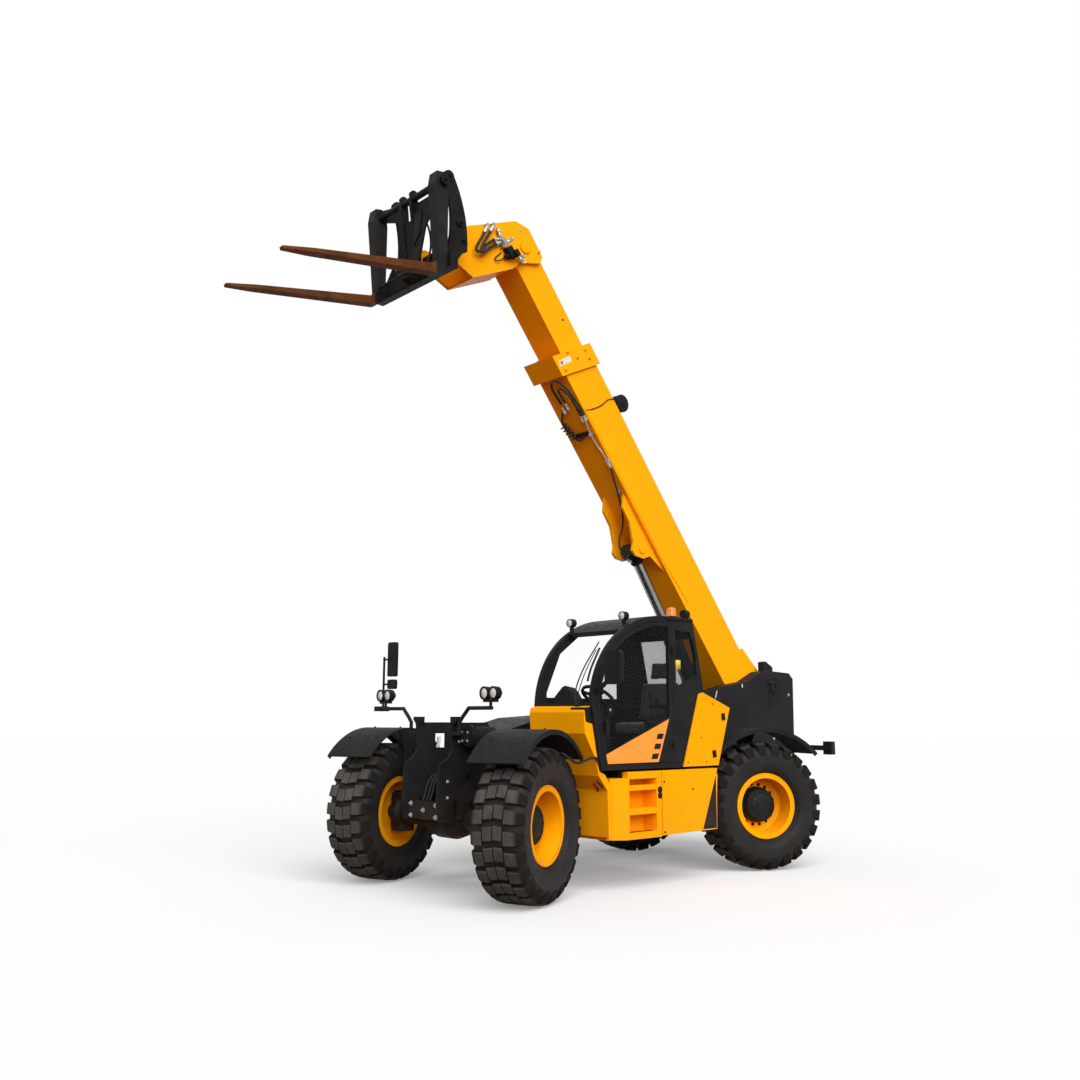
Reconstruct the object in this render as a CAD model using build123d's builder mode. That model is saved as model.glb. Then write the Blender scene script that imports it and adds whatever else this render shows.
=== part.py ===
from build123d import *
from math import atan2, cos, degrees, hypot, pi, radians, sin, sqrt
import os

os.makedirs("parts", exist_ok=True)

# Telehandler, full size, millimetres. X forward, Y to the machine's left, Z up, ground at Z 0.
# Lengths along X are measured from the middle of the wheelbase; the part's own origin is
# ORIGIN_FORWARD ahead of that, under the middle of the whole machine.
ORIGIN_FORWARD = 350

# wheels and axles
WHEELBASE = 3610
FRONT, REAR = WHEELBASE / 2, -WHEELBASE / 2
AXLE_Z = 693
TYRE_R = 693
TYRE_HALF = 250
TREAD_HALF = 205
LUG_ROWS = 24
LUG_DEPTH = 34
LUG_GAP = 38
WHEEL_OFFSET = 185          # kingpin to the wheel's middle plane
RIM_HALF = 190
FLANGE_R = 355
BEAD_DEPTH = 33             # bead seat below the rim's flange
KINGPIN_Y = 880
KINGPIN_R = 32
STUB_R = 60
YOKE_Z, YOKE_T = 150, 40    # yoke arms, above and below the hub
FIT = 0.05                  # radial running clearance
SEAT = 0.3                  # gap between curved faces that rest on each other
GAP = 5                     # clearance between pieces that move past each other

# fenders, about their own wheel
FENDER_R = 850
FENDER_T = 12
FENDER_IN, FENDER_OUT = -100, 450
FENDER_FROM, FENDER_TO = 42, 138

# frame
RAIL_IN = 265               # inner face of the side plates
RAIL_T = 25
RAIL_OUT = RAIL_IN + RAIL_T
TOWER_OUT = 430
SIDE_OUT = 1220             # outer face of the cab and bodywork
SKIN = 20                   # lower boxes stand this far outside the cab
BODY_OUT = SIDE_OUT + SKIN
FRAME_TOP, FRAME_LOW = 1150, 600
PAD_TOP = AXLE_Z + 167      # underside of the frame over the axles

# boom, measured from its pivot: u along the boom, w square to it
PIVOT_X, PIVOT_Z = REAR - 1195, 2060
BOOM_ANGLE = 51.1
PIVOT_PIN_R = 50
PIVOT_TUBE_R = 100
OUTER_HALF = 215
OUTER_LOW, OUTER_HIGH = -568, -43
OUTER_WALL = 10
OUTER_END = 4950
INNER_HALF = 180
INNER_LOW, INNER_HIGH = -448, -68
INNER_BACK, INNER_END = 1300, 6330
HEAD_HALF = 222
COLLAR_HALF = 240

# lift cylinder, in the middle plane
LIFT_X, LIFT_Z = REAR - 795, 1050
EYE_U, EYE_W = 2576, -712
LIFT_PIN_R = 45
EYE_R = 75
BARREL_R, ROD_R = 100, 60
BARREL_LENGTH = 1880
PISTON_AT = 1260
ROD_EYE_HALF = 105
EAR_IN, EAR_T = 140, 30

# fork carriage: the tilt pin from the boom's pivot, the fork shaft from the tilt pin
TILT_U, TILT_W = 6606.8, -1260.8
TILT_PIN_R = 45
SHAFT_AHEAD, SHAFT_UP = 370, 470
SHAFT_R = 35
FORK_Y = 535
FORK_HALF = 60
LINK_Y, LINK_T = 435, 30    # inner face and thickness of the carriage's side links
BEAM_LOW, BEAM_HIGH = -420, -260

# cab
CAB_IN, CAB_WALL = 400, 40
CAB_FLOOR = FRAME_TOP
CAB_MID = (CAB_IN + SIDE_OUT) / 2
CAB_FOOT, CAB_NOSE, ROOF_FRONT, ROOF_TOP = FRONT - 845, FRONT - 720, FRONT - 1225, FRONT - 1805
CAB_BACK, ROOF_BACK, DOOR_BACK = REAR + 1205, REAR + 1375, REAR + 1715
CAB_SILL, CAB_EAVES, ROOF_Z = 1760, 2550, 2690
PILLAR = 55                 # width of the cab's skin round the door
DOOR_RIM = 50               # width of the door's frame round its glass
PANE_T = 6
PANE_IN = 10                # panes lie this far inside the cab's faces
DOOR_HINGES = (1340, 2300)  # underside of each hinge
HINGE_OUT, HINGE_R, HINGE_PIN_R = 14, 10, 5

EYE_ANGLE = radians(BOOM_ANGLE)
EYE_X = PIVOT_X + EYE_U * cos(EYE_ANGLE) - EYE_W * sin(EYE_ANGLE)
EYE_Z = PIVOT_Z + EYE_U * sin(EYE_ANGLE) + EYE_W * cos(EYE_ANGLE)
TILT_X = PIVOT_X + TILT_U * cos(EYE_ANGLE) - TILT_W * sin(EYE_ANGLE)
TILT_Z = PIVOT_Z + TILT_U * sin(EYE_ANGLE) + TILT_W * cos(EYE_ANGLE)
LIFT_LENGTH = hypot(EYE_X - LIFT_X, EYE_Z - LIFT_Z)
LIFT_ANGLE = degrees(atan2(EYE_Z - LIFT_Z, EYE_X - LIFT_X))


def side(y, x=0, z=0):
    """Profile plane at distance y to the left: x forward, y up, normal to the right."""
    return Plane(origin=(x - ORIGIN_FORWARD, y, z), x_dir=(1, 0, 0), z_dir=(0, -1, 0))


def plan(z):
    """Plan plane at height z: x forward, y left."""
    return Plane(origin=(-ORIGIN_FORWARD, 0, z), x_dir=(1, 0, 0), z_dir=(0, 0, 1))


def section(x):
    """Cross-section plane at distance x forward: x left, y up."""
    return Plane(origin=(x - ORIGIN_FORWARD, 0, 0), x_dir=(0, 1, 0), z_dir=(1, 0, 0))


def boom_side(y):
    """Profile plane of the boom: x along it, y square to it, from the pivot."""
    return Plane(origin=(PIVOT_X - ORIGIN_FORWARD, y, PIVOT_Z),
                 x_dir=(cos(EYE_ANGLE), 0, sin(EYE_ANGLE)), z_dir=(0, -1, 0))


def tilt_side(y):
    """Profile plane of the fork carriage, from its tilt pin: x forward, y up."""
    return side(y, TILT_X, TILT_Z)


def wheel_side(axle_x, hand, heading, lateral):
    """Plane of a steered wheel, lateral outboard of the kingpin: x ahead, y up, normal to the right."""
    h = radians(heading)
    out = (-sin(h) * hand, cos(h) * hand)
    return Plane(origin=(axle_x - ORIGIN_FORWARD + out[0] * lateral,
                         hand * KINGPIN_Y + out[1] * lateral, AXLE_Z),
                 x_dir=(cos(h), sin(h), 0), z_dir=(sin(h), -cos(h), 0))


def wheel_radial(axle_x, hand, heading):
    """Radial half plane of a steered wheel: x outboard from the kingpin, y the radius."""
    h = radians(heading)
    out = (-sin(h) * hand, cos(h) * hand)
    return Plane(origin=(axle_x - ORIGIN_FORWARD, hand * KINGPIN_Y, AXLE_Z),
                 x_dir=(out[0], out[1], 0), z_dir=(out[1], -out[0], 0))


def lift_side(y):
    """Profile plane of the lift cylinder: x along it from its base pin."""
    a = radians(LIFT_ANGLE)
    return Plane(origin=(LIFT_X - ORIGIN_FORWARD, y, LIFT_Z),
                 x_dir=(cos(a), 0, sin(a)), z_dir=(0, -1, 0))


def arc_point(radius, angle):
    """Point on a circle about the origin, angle in degrees."""
    return (radius * cos(radians(angle)), radius * sin(radians(angle)))


# ---------------------------------------------------------------- main frame
# distance ahead of the front axle, height
FRAME_NOSE = [(-205, 1600), (245, 1600), (225, 1343), (274, 1267), (374, 1210), (396, 841),
              (361, 685), (198, 656), (198, PAD_TOP), (-185, PAD_TOP), (-245, FRAME_LOW)]
# distance ahead of the rear axle, height
FRAME_TAIL = [(245, FRAME_LOW), (185, PAD_TOP), (-185, PAD_TOP), (-245, FRAME_LOW), (-1495, FRAME_LOW),
              (-1575, 700), (-1575, 1400), (555, 1400), (805, FRAME_TOP)]
# distance ahead of the rear axle, height above the boom's pivot
TOWER_TOP = [(705, -240), (148, -111), (-225, -18), (-633, 38), (-931, 168), (-1079, 186),
             (-1526, 168), (-1608, 94)]
TOWER_FRONT, TOWER_BACK, TOWER_LOW = REAR + 605, REAR - 1585, 1200

with BuildPart() as main_frame:
    for hand in (1, -1):
        with BuildSketch(side(hand * RAIL_IN)):
            with BuildLine():
                Polyline(*[(FRONT + x, z) for x, z in FRAME_NOSE], *[(REAR + x, z) for x, z in FRAME_TAIL],
                         (FRONT - 605, FRAME_TOP), (FRONT - 355, 1300), close=True)
            make_face()
            # window over the front axle, in the right plate
            if hand == -1:
                with Locations((FRONT - 50, 1420)):
                    Rectangle(130, 140, mode=Mode.SUBTRACT)
        extrude(amount=-hand * RAIL_T)
        with BuildSketch(side(hand * RAIL_IN)):
            with BuildLine():
                Polyline((TOWER_FRONT, TOWER_LOW), *[(REAR + x, PIVOT_Z + z) for x, z in TOWER_TOP],
                         (TOWER_BACK, TOWER_LOW), close=True)
            make_face()
        extrude(amount=-hand * (TOWER_OUT - RAIL_IN))
        # round boss at the boom's pivot, with its three-sided recess
        with BuildSketch(side(hand * TOWER_OUT, PIVOT_X, PIVOT_Z)):
            Circle(PIVOT_PIN_R + 40)
        extrude(amount=-hand * 12)
        with BuildSketch(side(hand * (TOWER_OUT + 12), PIVOT_X, PIVOT_Z)):
            RegularPolygon(PIVOT_PIN_R, 3)
        extrude(amount=hand * 8, mode=Mode.SUBTRACT)
        # hook that stands on the front end of each side plate
        with BuildSketch(section(FRONT + 165)):
            with BuildLine():
                Polyline((hand * RAIL_IN, 1340), (hand * RAIL_IN, 1560), (hand * (RAIL_IN - 18), 1610),
                         (hand * (RAIL_IN - 18), 1655), (hand * (RAIL_OUT + 65), 1655),
                         (hand * (RAIL_OUT + 65), 1625), (hand * RAIL_OUT, 1560), (hand * RAIL_OUT, 1340),
                         close=True)
            make_face()
        extrude(amount=60)
        # stiffening rib down the outside of the nose
        with BuildSketch(section(FRONT + 60)):
            Polygon((hand * RAIL_OUT, 1340), (hand * (RAIL_OUT + 55), 1290), (hand * (RAIL_OUT + 55), 1120),
                    (hand * RAIL_OUT, 1060), align=None)
        extrude(amount=20)
    # cross members between the side plates: x from, x to, z from, z to
    for x0, x1, z0, z1 in [(FRONT + 75, FRONT + 125, 930, 1100), (FRONT + 300, FRONT + 340, 690, 860),
                           (FRONT - 1105, FRONT - 1025, 640, 1000), (REAR + 905, REAR + 985, 640, 960),
                           (REAR - 1575, REAR - 1195, 640, 1380), (REAR - 995, REAR - 915, 640, 940)]:
        with BuildSketch(plan(z0)):
            with Locations(((x0 + x1) / 2, 0)):
                Rectangle(x1 - x0, 2 * RAIL_IN)
        extrude(amount=z1 - z0)
    # outriggers that carry the cab and the engine bay: side, x, z from, z to
    for hand, x, z0, z1 in [(1, FRONT - 1205, CAB_FLOOR - 80, CAB_FLOOR), (1, REAR + 1405, CAB_FLOOR - 80, CAB_FLOOR),
                            (-1, FRONT - 1205, FRAME_LOW + 20, FRAME_LOW + 100),
                            (-1, REAR + 1105, FRAME_LOW + 20, FRAME_LOW + 100)]:
        with BuildSketch(plan(z0)):
            with Locations((x, hand * (RAIL_OUT + SIDE_OUT - 70) / 2)):
                Rectangle(100, SIDE_OUT - 70 - RAIL_OUT)
        extrude(amount=z1 - z0)
    # pins of the boom and of the lift cylinder
    with BuildSketch(side(TOWER_OUT, PIVOT_X, PIVOT_Z)):
        Circle(PIVOT_PIN_R)
    extrude(amount=2 * TOWER_OUT)
    with BuildSketch(side(RAIL_OUT, LIFT_X, LIFT_Z)):
        Circle(LIFT_PIN_R)
    extrude(amount=2 * RAIL_OUT)
    # towing jaw with its bore
    for z in (700, 800):
        with BuildSketch(plan(z)):
            with Locations((REAR - 1625, 0)):
                Rectangle(100, 160)
        extrude(amount=30)
    with Locations((REAR - 1635 - ORIGIN_FORWARD, 0, 765)):
        Hole(20, depth=200)
main_frame.part.label = "main_frame"
export_step(main_frame.part, "parts/main_frame.step")

# ---------------------------------------------------------------- axles
BEAM_R, BANJO_R = 110, 200
BEAM_END = KINGPIN_Y - 110
YOKE_IN = KINGPIN_Y - 150
for label, axle_x in [("front_axle", FRONT), ("rear_axle", REAR)]:
    with BuildPart() as axle:
        with BuildSketch(Plane(origin=(axle_x - ORIGIN_FORWARD, 0, AXLE_Z), x_dir=(0, 1, 0), z_dir=(1, 0, 0))):
            with BuildLine():
                Polyline((-BEAM_END, 0), (-BEAM_END, BEAM_R + 40), (-BEAM_END + 40, BEAM_R), (-300, BEAM_R),
                         (-225, 165), (-BEAM_R, BANJO_R), (BEAM_R, BANJO_R), (225, 165), (300, BEAM_R),
                         (BEAM_END - 40, BEAM_R), (BEAM_END, BEAM_R + 40), (BEAM_END, 0), close=True)
            make_face()
        revolve(axis=Axis((axle_x - ORIGIN_FORWARD, 0, AXLE_Z), (0, 1, 0)))
        for hand in (1, -1):
            # pads under the frame
            with BuildSketch(plan(AXLE_Z)):
                with Locations((axle_x, hand * (RAIL_OUT - 5))):
                    Rectangle(300, 130)
            extrude(amount=PAD_TOP - AXLE_Z)
            # yoke: back plate and two arms round the kingpin
            with BuildSketch(plan(AXLE_Z - YOKE_Z - YOKE_T)):
                with Locations((axle_x, hand * (YOKE_IN + BEAM_END + 15) / 2)):
                    Rectangle(160, BEAM_END + 15 - YOKE_IN)
            extrude(amount=2 * (YOKE_Z + YOKE_T))
            for z in (AXLE_Z + YOKE_Z, AXLE_Z - YOKE_Z - YOKE_T):
                with BuildSketch(plan(z)):
                    with Locations((axle_x, hand * KINGPIN_Y)):
                        Circle(80)
                    with Locations((axle_x, hand * (KINGPIN_Y + YOKE_IN) / 2)):
                        Rectangle(160, KINGPIN_Y - YOKE_IN)
                extrude(amount=YOKE_T)
            with Locations((axle_x - ORIGIN_FORWARD, hand * KINGPIN_Y, AXLE_Z)):
                Cylinder(KINGPIN_R + FIT, 500, mode=Mode.SUBTRACT)
    axle.part.label = label
    export_step(axle.part, f"parts/{label}.step")

# ---------------------------------------------------------------- wheels, knuckles, fenders
# distance outboard of the wheel's middle plane, radius
TYRE_SECTION = [(-176, FLANGE_R - BEAD_DEPTH), (-176, FLANGE_R + 4), (-242, FLANGE_R + 75),
                (-TYRE_HALF, TYRE_R - 103), (-TREAD_HALF, TYRE_R), (TREAD_HALF, TYRE_R),
                (TYRE_HALF, TYRE_R - 103), (242, FLANGE_R + 75), (176, FLANGE_R + 4),
                (176, FLANGE_R - BEAD_DEPTH)]
WELL_R = FLANGE_R - BEAD_DEPTH - SEAT
RIM_SECTION = [(-RIM_HALF, FLANGE_R - 55), (-RIM_HALF, FLANGE_R), (-178, FLANGE_R), (-178, WELL_R),
               (178, WELL_R), (178, FLANGE_R), (RIM_HALF, FLANGE_R), (RIM_HALF, FLANGE_R - 55),
               (-30, WELL_R - 30), (-55, 250), (-55, 190), (55, 172), (70, 160), (70, 0), (40, 0),
               (40, STUB_R + FIT), (-80, STUB_R + FIT), (-80, WELL_R - 30)]
# corner, axle position, side, heading at rest
CORNERS = [("fl", FRONT, 1, 21), ("fr", FRONT, -1, 18), ("rl", REAR, 1, -25), ("rr", REAR, -1, -22)]
KNUCKLE_HALF = YOKE_Z - SEAT

# tyre about the X axis: a revolved casing whose tread is cut into lugs, two staggered rows
with BuildPart(mode=Mode.PRIVATE) as casing:
    with BuildSketch(Plane.XY):
        with BuildLine():
            Polyline(*TYRE_SECTION, close=True)
        make_face()
    revolve(axis=Axis.X)
    for row, hand in enumerate((1, -1)):
        for turn in range(LUG_ROWS):
            with BuildSketch(Plane.XY.rotated(((turn + row / 2) * 360 / LUG_ROWS, 0, 0)).offset(-LUG_GAP / 2)):
                Polygon((hand * 15, TYRE_R + 20), (hand * 15, TYRE_R - LUG_DEPTH),
                        (hand * 150, TYRE_R - LUG_DEPTH), (hand * 215, TYRE_R - 115),
                        (hand * (TYRE_HALF + 20), TYRE_R - 115), (hand * (TYRE_HALF + 20), TYRE_R + 20),
                        align=None)
            extrude(amount=LUG_GAP, mode=Mode.SUBTRACT)

for corner, axle_x, hand, heading in CORNERS:
    radial = wheel_radial(axle_x, hand, heading)
    spin = Axis(radial.origin, radial.x_dir)

    with BuildPart() as tyre:
        add(casing.part.moved(Location(radial) * Location((WHEEL_OFFSET, 0, 0))))
    tyre.part.label = f"tyre_{corner}"
    export_step(tyre.part, f"parts/tyre_{corner}.step")

    with BuildPart() as rim:
        with BuildSketch(radial):
            with BuildLine():
                Polyline(*[(WHEEL_OFFSET + a, r) for a, r in RIM_SECTION], close=True)
            make_face()
        revolve(axis=spin)
    rim.part.label = f"rim_{corner}"
    export_step(rim.part, f"parts/rim_{corner}.step")

    with BuildPart() as knuckle:
        with Locations((axle_x - ORIGIN_FORWARD, hand * KINGPIN_Y, AXLE_Z)):
            Cylinder(85, 2 * KNUCKLE_HALF)
            Cylinder(KINGPIN_R, 2 * (YOKE_Z + YOKE_T) + 20)
        with BuildSketch(radial):
            Polygon((0, 0), (0, 85), (70, 85), (70, STUB_R), (WHEEL_OFFSET + 29, STUB_R),
                    (WHEEL_OFFSET + 29, 0), align=None)
        revolve(axis=spin)
        # plate on top of the kingpin that carries the fender
        with BuildSketch(Plane(origin=(axle_x - ORIGIN_FORWARD, hand * KINGPIN_Y,
                                       AXLE_Z + YOKE_Z + YOKE_T + 8),
                               x_dir=radial.x_dir, z_dir=(0, 0, 1))):
            with Locations((-40, 0)):
                Rectangle(150, 120)
        extrude(amount=14)
    knuckle.part.label = f"knuckle_{corner}"
    export_step(knuckle.part, f"parts/knuckle_{corner}.step")

    with BuildPart() as fender:
        # curved skin over the tyre, with a lip down its outer edge
        for inboard, outboard, radius in [(FENDER_IN, FENDER_OUT, FENDER_R - FENDER_T),
                                          (FENDER_OUT - 15, FENDER_OUT, FENDER_R - 45)]:
            with BuildSketch(wheel_side(axle_x, hand, heading, inboard)):
                with BuildLine():
                    Line(arc_point(radius, FENDER_FROM), arc_point(FENDER_R, FENDER_FROM))
                    ThreePointArc(arc_point(FENDER_R, FENDER_FROM), (0, FENDER_R),
                                  arc_point(FENDER_R, FENDER_TO))
                    Line(arc_point(FENDER_R, FENDER_TO), arc_point(radius, FENDER_TO))
                    ThreePointArc(arc_point(radius, FENDER_TO), (0, radius), arc_point(radius, FENDER_FROM))
                make_face()
            extrude(amount=-hand * (outboard - inboard))
        # bracket up the inside of the tyre, standing on the knuckle's plate
        foot = YOKE_Z + YOKE_T + 22
        crown, seat_r = 150, FENDER_R - FENDER_T / 2
        rise = sqrt(seat_r**2 - crown**2)
        with BuildSketch(wheel_side(axle_x, hand, heading, FENDER_IN)):
            with BuildLine():
                Polyline((-crown, rise), (-60, 600), (-60, foot), (60, foot), (60, 600), (crown, rise))
                ThreePointArc((crown, rise), (0, seat_r), (-crown, rise))
            make_face()
        extrude(amount=-hand * 25)
    fender.part.label = f"fender_{corner}"
    export_step(fender.part, f"parts/fender_{corner}.step")

# ---------------------------------------------------------------- boom, outer section
COLLAR = [(4820, OUTER_LOW - 82), (5070, OUTER_LOW - 82), (4940, OUTER_HIGH + 43), (4670, OUTER_HIGH + 43)]
EAR_OUTLINE = [(2150, OUTER_LOW), (3250, OUTER_LOW), (3126, -689), (2929, -700), (2714, -800),
               (2653, -873), (2574, -865), (2473, -772), (2432, -658)]
with BuildPart() as boom_outer:
    with BuildSketch(boom_side(OUTER_HALF)):
        with BuildLine():
            Polyline((-PIVOT_TUBE_R, -60), (-60, 80), (120, 100), (580, 20), (580, OUTER_HIGH),
                     (OUTER_END, OUTER_HIGH), (OUTER_END, OUTER_LOW), (250, OUTER_LOW), (60, -400),
                     close=True)
        make_face()
    extrude(amount=2 * OUTER_HALF)
    # doublers welded on the sides, from the pivot past the lift cylinder
    with BuildSketch(boom_side(OUTER_HALF + 6)):
        with BuildLine():
            Polyline((1650, -490), (2000, -67), (2532, -81), (3885, -102), (4110, OUTER_HIGH - 60),
                     (4340, OUTER_LOW + 20), (2300, OUTER_LOW + 20), close=True)
        make_face()
    extrude(amount=2 * (OUTER_HALF + 6))
    # collar at the mouth
    with BuildSketch(boom_side(COLLAR_HALF)):
        Polygon(*COLLAR, align=None)
    extrude(amount=2 * COLLAR_HALF)
    # hollow for the inner section
    with BuildSketch(boom_side(OUTER_HALF - OUTER_WALL)):
        Polygon((280, OUTER_LOW + OUTER_WALL), (OUTER_END + 200, OUTER_LOW + OUTER_WALL),
                (OUTER_END + 200, OUTER_HIGH - OUTER_WALL), (280, OUTER_HIGH - OUTER_WALL), align=None)
    extrude(amount=2 * (OUTER_HALF - OUTER_WALL), mode=Mode.SUBTRACT)
    # wear pads that carry the inner section
    for w0, w1 in [(OUTER_LOW + OUTER_WALL, INNER_LOW - SEAT), (INNER_HIGH + SEAT, OUTER_HIGH - OUTER_WALL)]:
        with BuildSketch(boom_side(150)):
            Polygon((OUTER_END - 250, w0), (OUTER_END - 50, w0), (OUTER_END - 50, w1),
                    (OUTER_END - 250, w1), align=None)
        extrude(amount=300)
    # pivot tube
    with BuildSketch(boom_side(RAIL_IN - GAP)):
        Circle(PIVOT_TUBE_R)
    extrude(amount=2 * (RAIL_IN - GAP))
    with BuildSketch(boom_side(RAIL_IN)):
        Circle(PIVOT_PIN_R + FIT)
    extrude(amount=2 * RAIL_IN, mode=Mode.SUBTRACT)
    # clevis ears of the lift cylinder, each with a pin boss
    for y0, boss in ((EAR_IN + EAR_T, EAR_IN + EAR_T + 12), (-EAR_IN, -EAR_IN - EAR_T)):
        with BuildSketch(boom_side(y0)):
            with BuildLine():
                Polyline(*EAR_OUTLINE, close=True)
            make_face()
        extrude(amount=EAR_T)
        with BuildSketch(boom_side(boss)):
            with Locations((EYE_U, EYE_W)):
                Circle(LIFT_PIN_R + 15)
        extrude(amount=12)
boom_outer.part.label = "boom_outer"
export_step(boom_outer.part, "parts/boom_outer.step")

# ---------------------------------------------------------------- boom, inner section with its head
# distance along the boom beyond the end of the inner tube, distance square to it
HEAD_OUTLINE = [(-293, -44), (49, -40), (190, -172), (386, -856), (383, -1010), (270, -1130),
                (134, -1266), (-96, -1146), (-231, -553), (-217, -403), (-338, -130)]
with BuildPart() as boom_inner:
    with BuildSketch(boom_side(INNER_HALF)):
        Polygon((INNER_BACK, INNER_LOW), (INNER_END, INNER_LOW), (INNER_END, INNER_HIGH),
                (INNER_BACK, INNER_HIGH), align=None)
    extrude(amount=2 * INNER_HALF)
    with BuildSketch(boom_side(INNER_HALF - OUTER_WALL)):
        Polygon((INNER_BACK - 10, INNER_LOW + OUTER_WALL), (INNER_END - 130, INNER_LOW + OUTER_WALL),
                (INNER_END - 130, INNER_HIGH - OUTER_WALL), (INNER_BACK - 10, INNER_HIGH - OUTER_WALL),
                align=None)
    extrude(amount=2 * (INNER_HALF - OUTER_WALL), mode=Mode.SUBTRACT)
    for y0, boss in ((HEAD_HALF, HEAD_HALF + 15), (-INNER_HALF, -HEAD_HALF)):
        with BuildSketch(boom_side(y0)):
            with BuildLine():
                Polyline(*[(INNER_END + u, w) for u, w in HEAD_OUTLINE], close=True)
            make_face()
            with Locations((TILT_U, TILT_W)):
                Circle(TILT_PIN_R + 75)
        extrude(amount=HEAD_HALF - INNER_HALF)
        # round boss of the tilt link's pin
        with BuildSketch(boom_side(boss)):
            with Locations((INNER_END - 97, -227)):
                Circle(75)
        extrude(amount=15)
    # bottom plate between the head's cheeks, and the top plate over the nose
    with BuildSketch(boom_side(INNER_HALF)):
        Polygon((INNER_END - 231, -553), (INNER_END - 96, -1146), (INNER_END - 76, -1142),
                (INNER_END - 200, -553), align=None)
    extrude(amount=2 * INNER_HALF)
    with BuildSketch(boom_side(INNER_HALF)):
        Polygon((INNER_END, -60), (INNER_END + 49, -60), (INNER_END + 175, -176), (INNER_END + 355, -804),
                (INNER_END + 335, -810), (INNER_END + 155, -186), (INNER_END + 45, -80), (INNER_END, -80),
                align=None)
    extrude(amount=2 * INNER_HALF)
    with BuildSketch(boom_side(HEAD_HALF + 1)):
        with Locations((TILT_U, TILT_W)):
            Circle(TILT_PIN_R + FIT)
    extrude(amount=2 * HEAD_HALF + 2, mode=Mode.SUBTRACT)
    # wear pads at the back end
    for w0, w1 in [(OUTER_LOW + OUTER_WALL + SEAT, INNER_LOW), (INNER_HIGH, OUTER_HIGH - OUTER_WALL - SEAT)]:
        with BuildSketch(boom_side(150)):
            Polygon((INNER_BACK + 20, w0), (INNER_BACK + 220, w0), (INNER_BACK + 220, w1),
                    (INNER_BACK + 20, w1), align=None)
        extrude(amount=300)
boom_inner.part.label = "boom_inner"
export_step(boom_inner.part, "parts/boom_inner.step")

# ---------------------------------------------------------------- cable reel on the boom
REEL_R, REEL_U = 105, OUTER_END - 830
REEL_W = OUTER_HIGH + REEL_R + 3
with BuildPart() as cable_reel:
    with BuildSketch(boom_side(OUTER_HALF)):
        with Locations((REEL_U, REEL_W)):
            Circle(REEL_R)
    extrude(amount=30)
    with BuildSketch(boom_side(OUTER_HALF - 30)):
        with Locations((REEL_U, REEL_W)):
            Circle(REEL_R - 25)
    extrude(amount=50)
    with BuildSketch(boom_side(OUTER_HALF - 80)):
        with Locations((REEL_U, REEL_W)):
            Circle(REEL_R)
    extrude(amount=30)
    # foot that stands on the boom's top plate
    with BuildSketch(boom_side(OUTER_HALF - 30)):
        Polygon((REEL_U - 60, OUTER_HIGH), (REEL_U + 60, OUTER_HIGH), (REEL_U + 30, REEL_W),
                (REEL_U - 30, REEL_W), align=None)
    extrude(amount=50)
cable_reel.part.label = "cable_reel"
export_step(cable_reel.part, "parts/cable_reel.step")

# ---------------------------------------------------------------- lift cylinder
with BuildPart() as lift_barrel:
    axis = Axis(lift_side(0).origin, lift_side(0).x_dir)
    with BuildSketch(lift_side(0)):
        Polygon((EYE_R - 10, 0), (EYE_R - 10, BARREL_R - 15), (EYE_R + 50, BARREL_R),
                (BARREL_LENGTH - 90, BARREL_R), (BARREL_LENGTH - 90, BARREL_R + 12),
                (BARREL_LENGTH, BARREL_R + 12), (BARREL_LENGTH, 0), align=None)
    revolve(axis=axis)
    with BuildSketch(lift_side(80)):
        Circle(LIFT_PIN_R + 40)
    extrude(amount=160)
    with BuildSketch(lift_side(110)):
        Circle(LIFT_PIN_R + FIT)
    extrude(amount=220, mode=Mode.SUBTRACT)
    with BuildSketch(lift_side(0)):
        Polygon((150, 0), (150, BARREL_R - 20), (BARREL_LENGTH - 50, BARREL_R - 20),
                (BARREL_LENGTH - 50, ROD_R + FIT), (BARREL_LENGTH + 10, ROD_R + FIT),
                (BARREL_LENGTH + 10, 0), align=None)
    revolve(axis=axis, mode=Mode.SUBTRACT)
lift_barrel.part.label = "lift_barrel"
export_step(lift_barrel.part, "parts/lift_barrel.step")

with BuildPart() as lift_rod:
    with BuildSketch(lift_side(0)):
        Polygon((PISTON_AT, 0), (PISTON_AT, BARREL_R - 21), (PISTON_AT + 80, BARREL_R - 21),
                (PISTON_AT + 80, ROD_R), (LIFT_LENGTH - 60, ROD_R), (LIFT_LENGTH - 60, 0), align=None)
    revolve(axis=Axis(lift_side(0).origin, lift_side(0).x_dir))
    with BuildSketch(lift_side(ROD_EYE_HALF)):
        with Locations((LIFT_LENGTH, 0)):
            Circle(EYE_R)
    extrude(amount=2 * ROD_EYE_HALF)
lift_rod.part.label = "lift_rod"
export_step(lift_rod.part, "parts/lift_rod.step")

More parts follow.
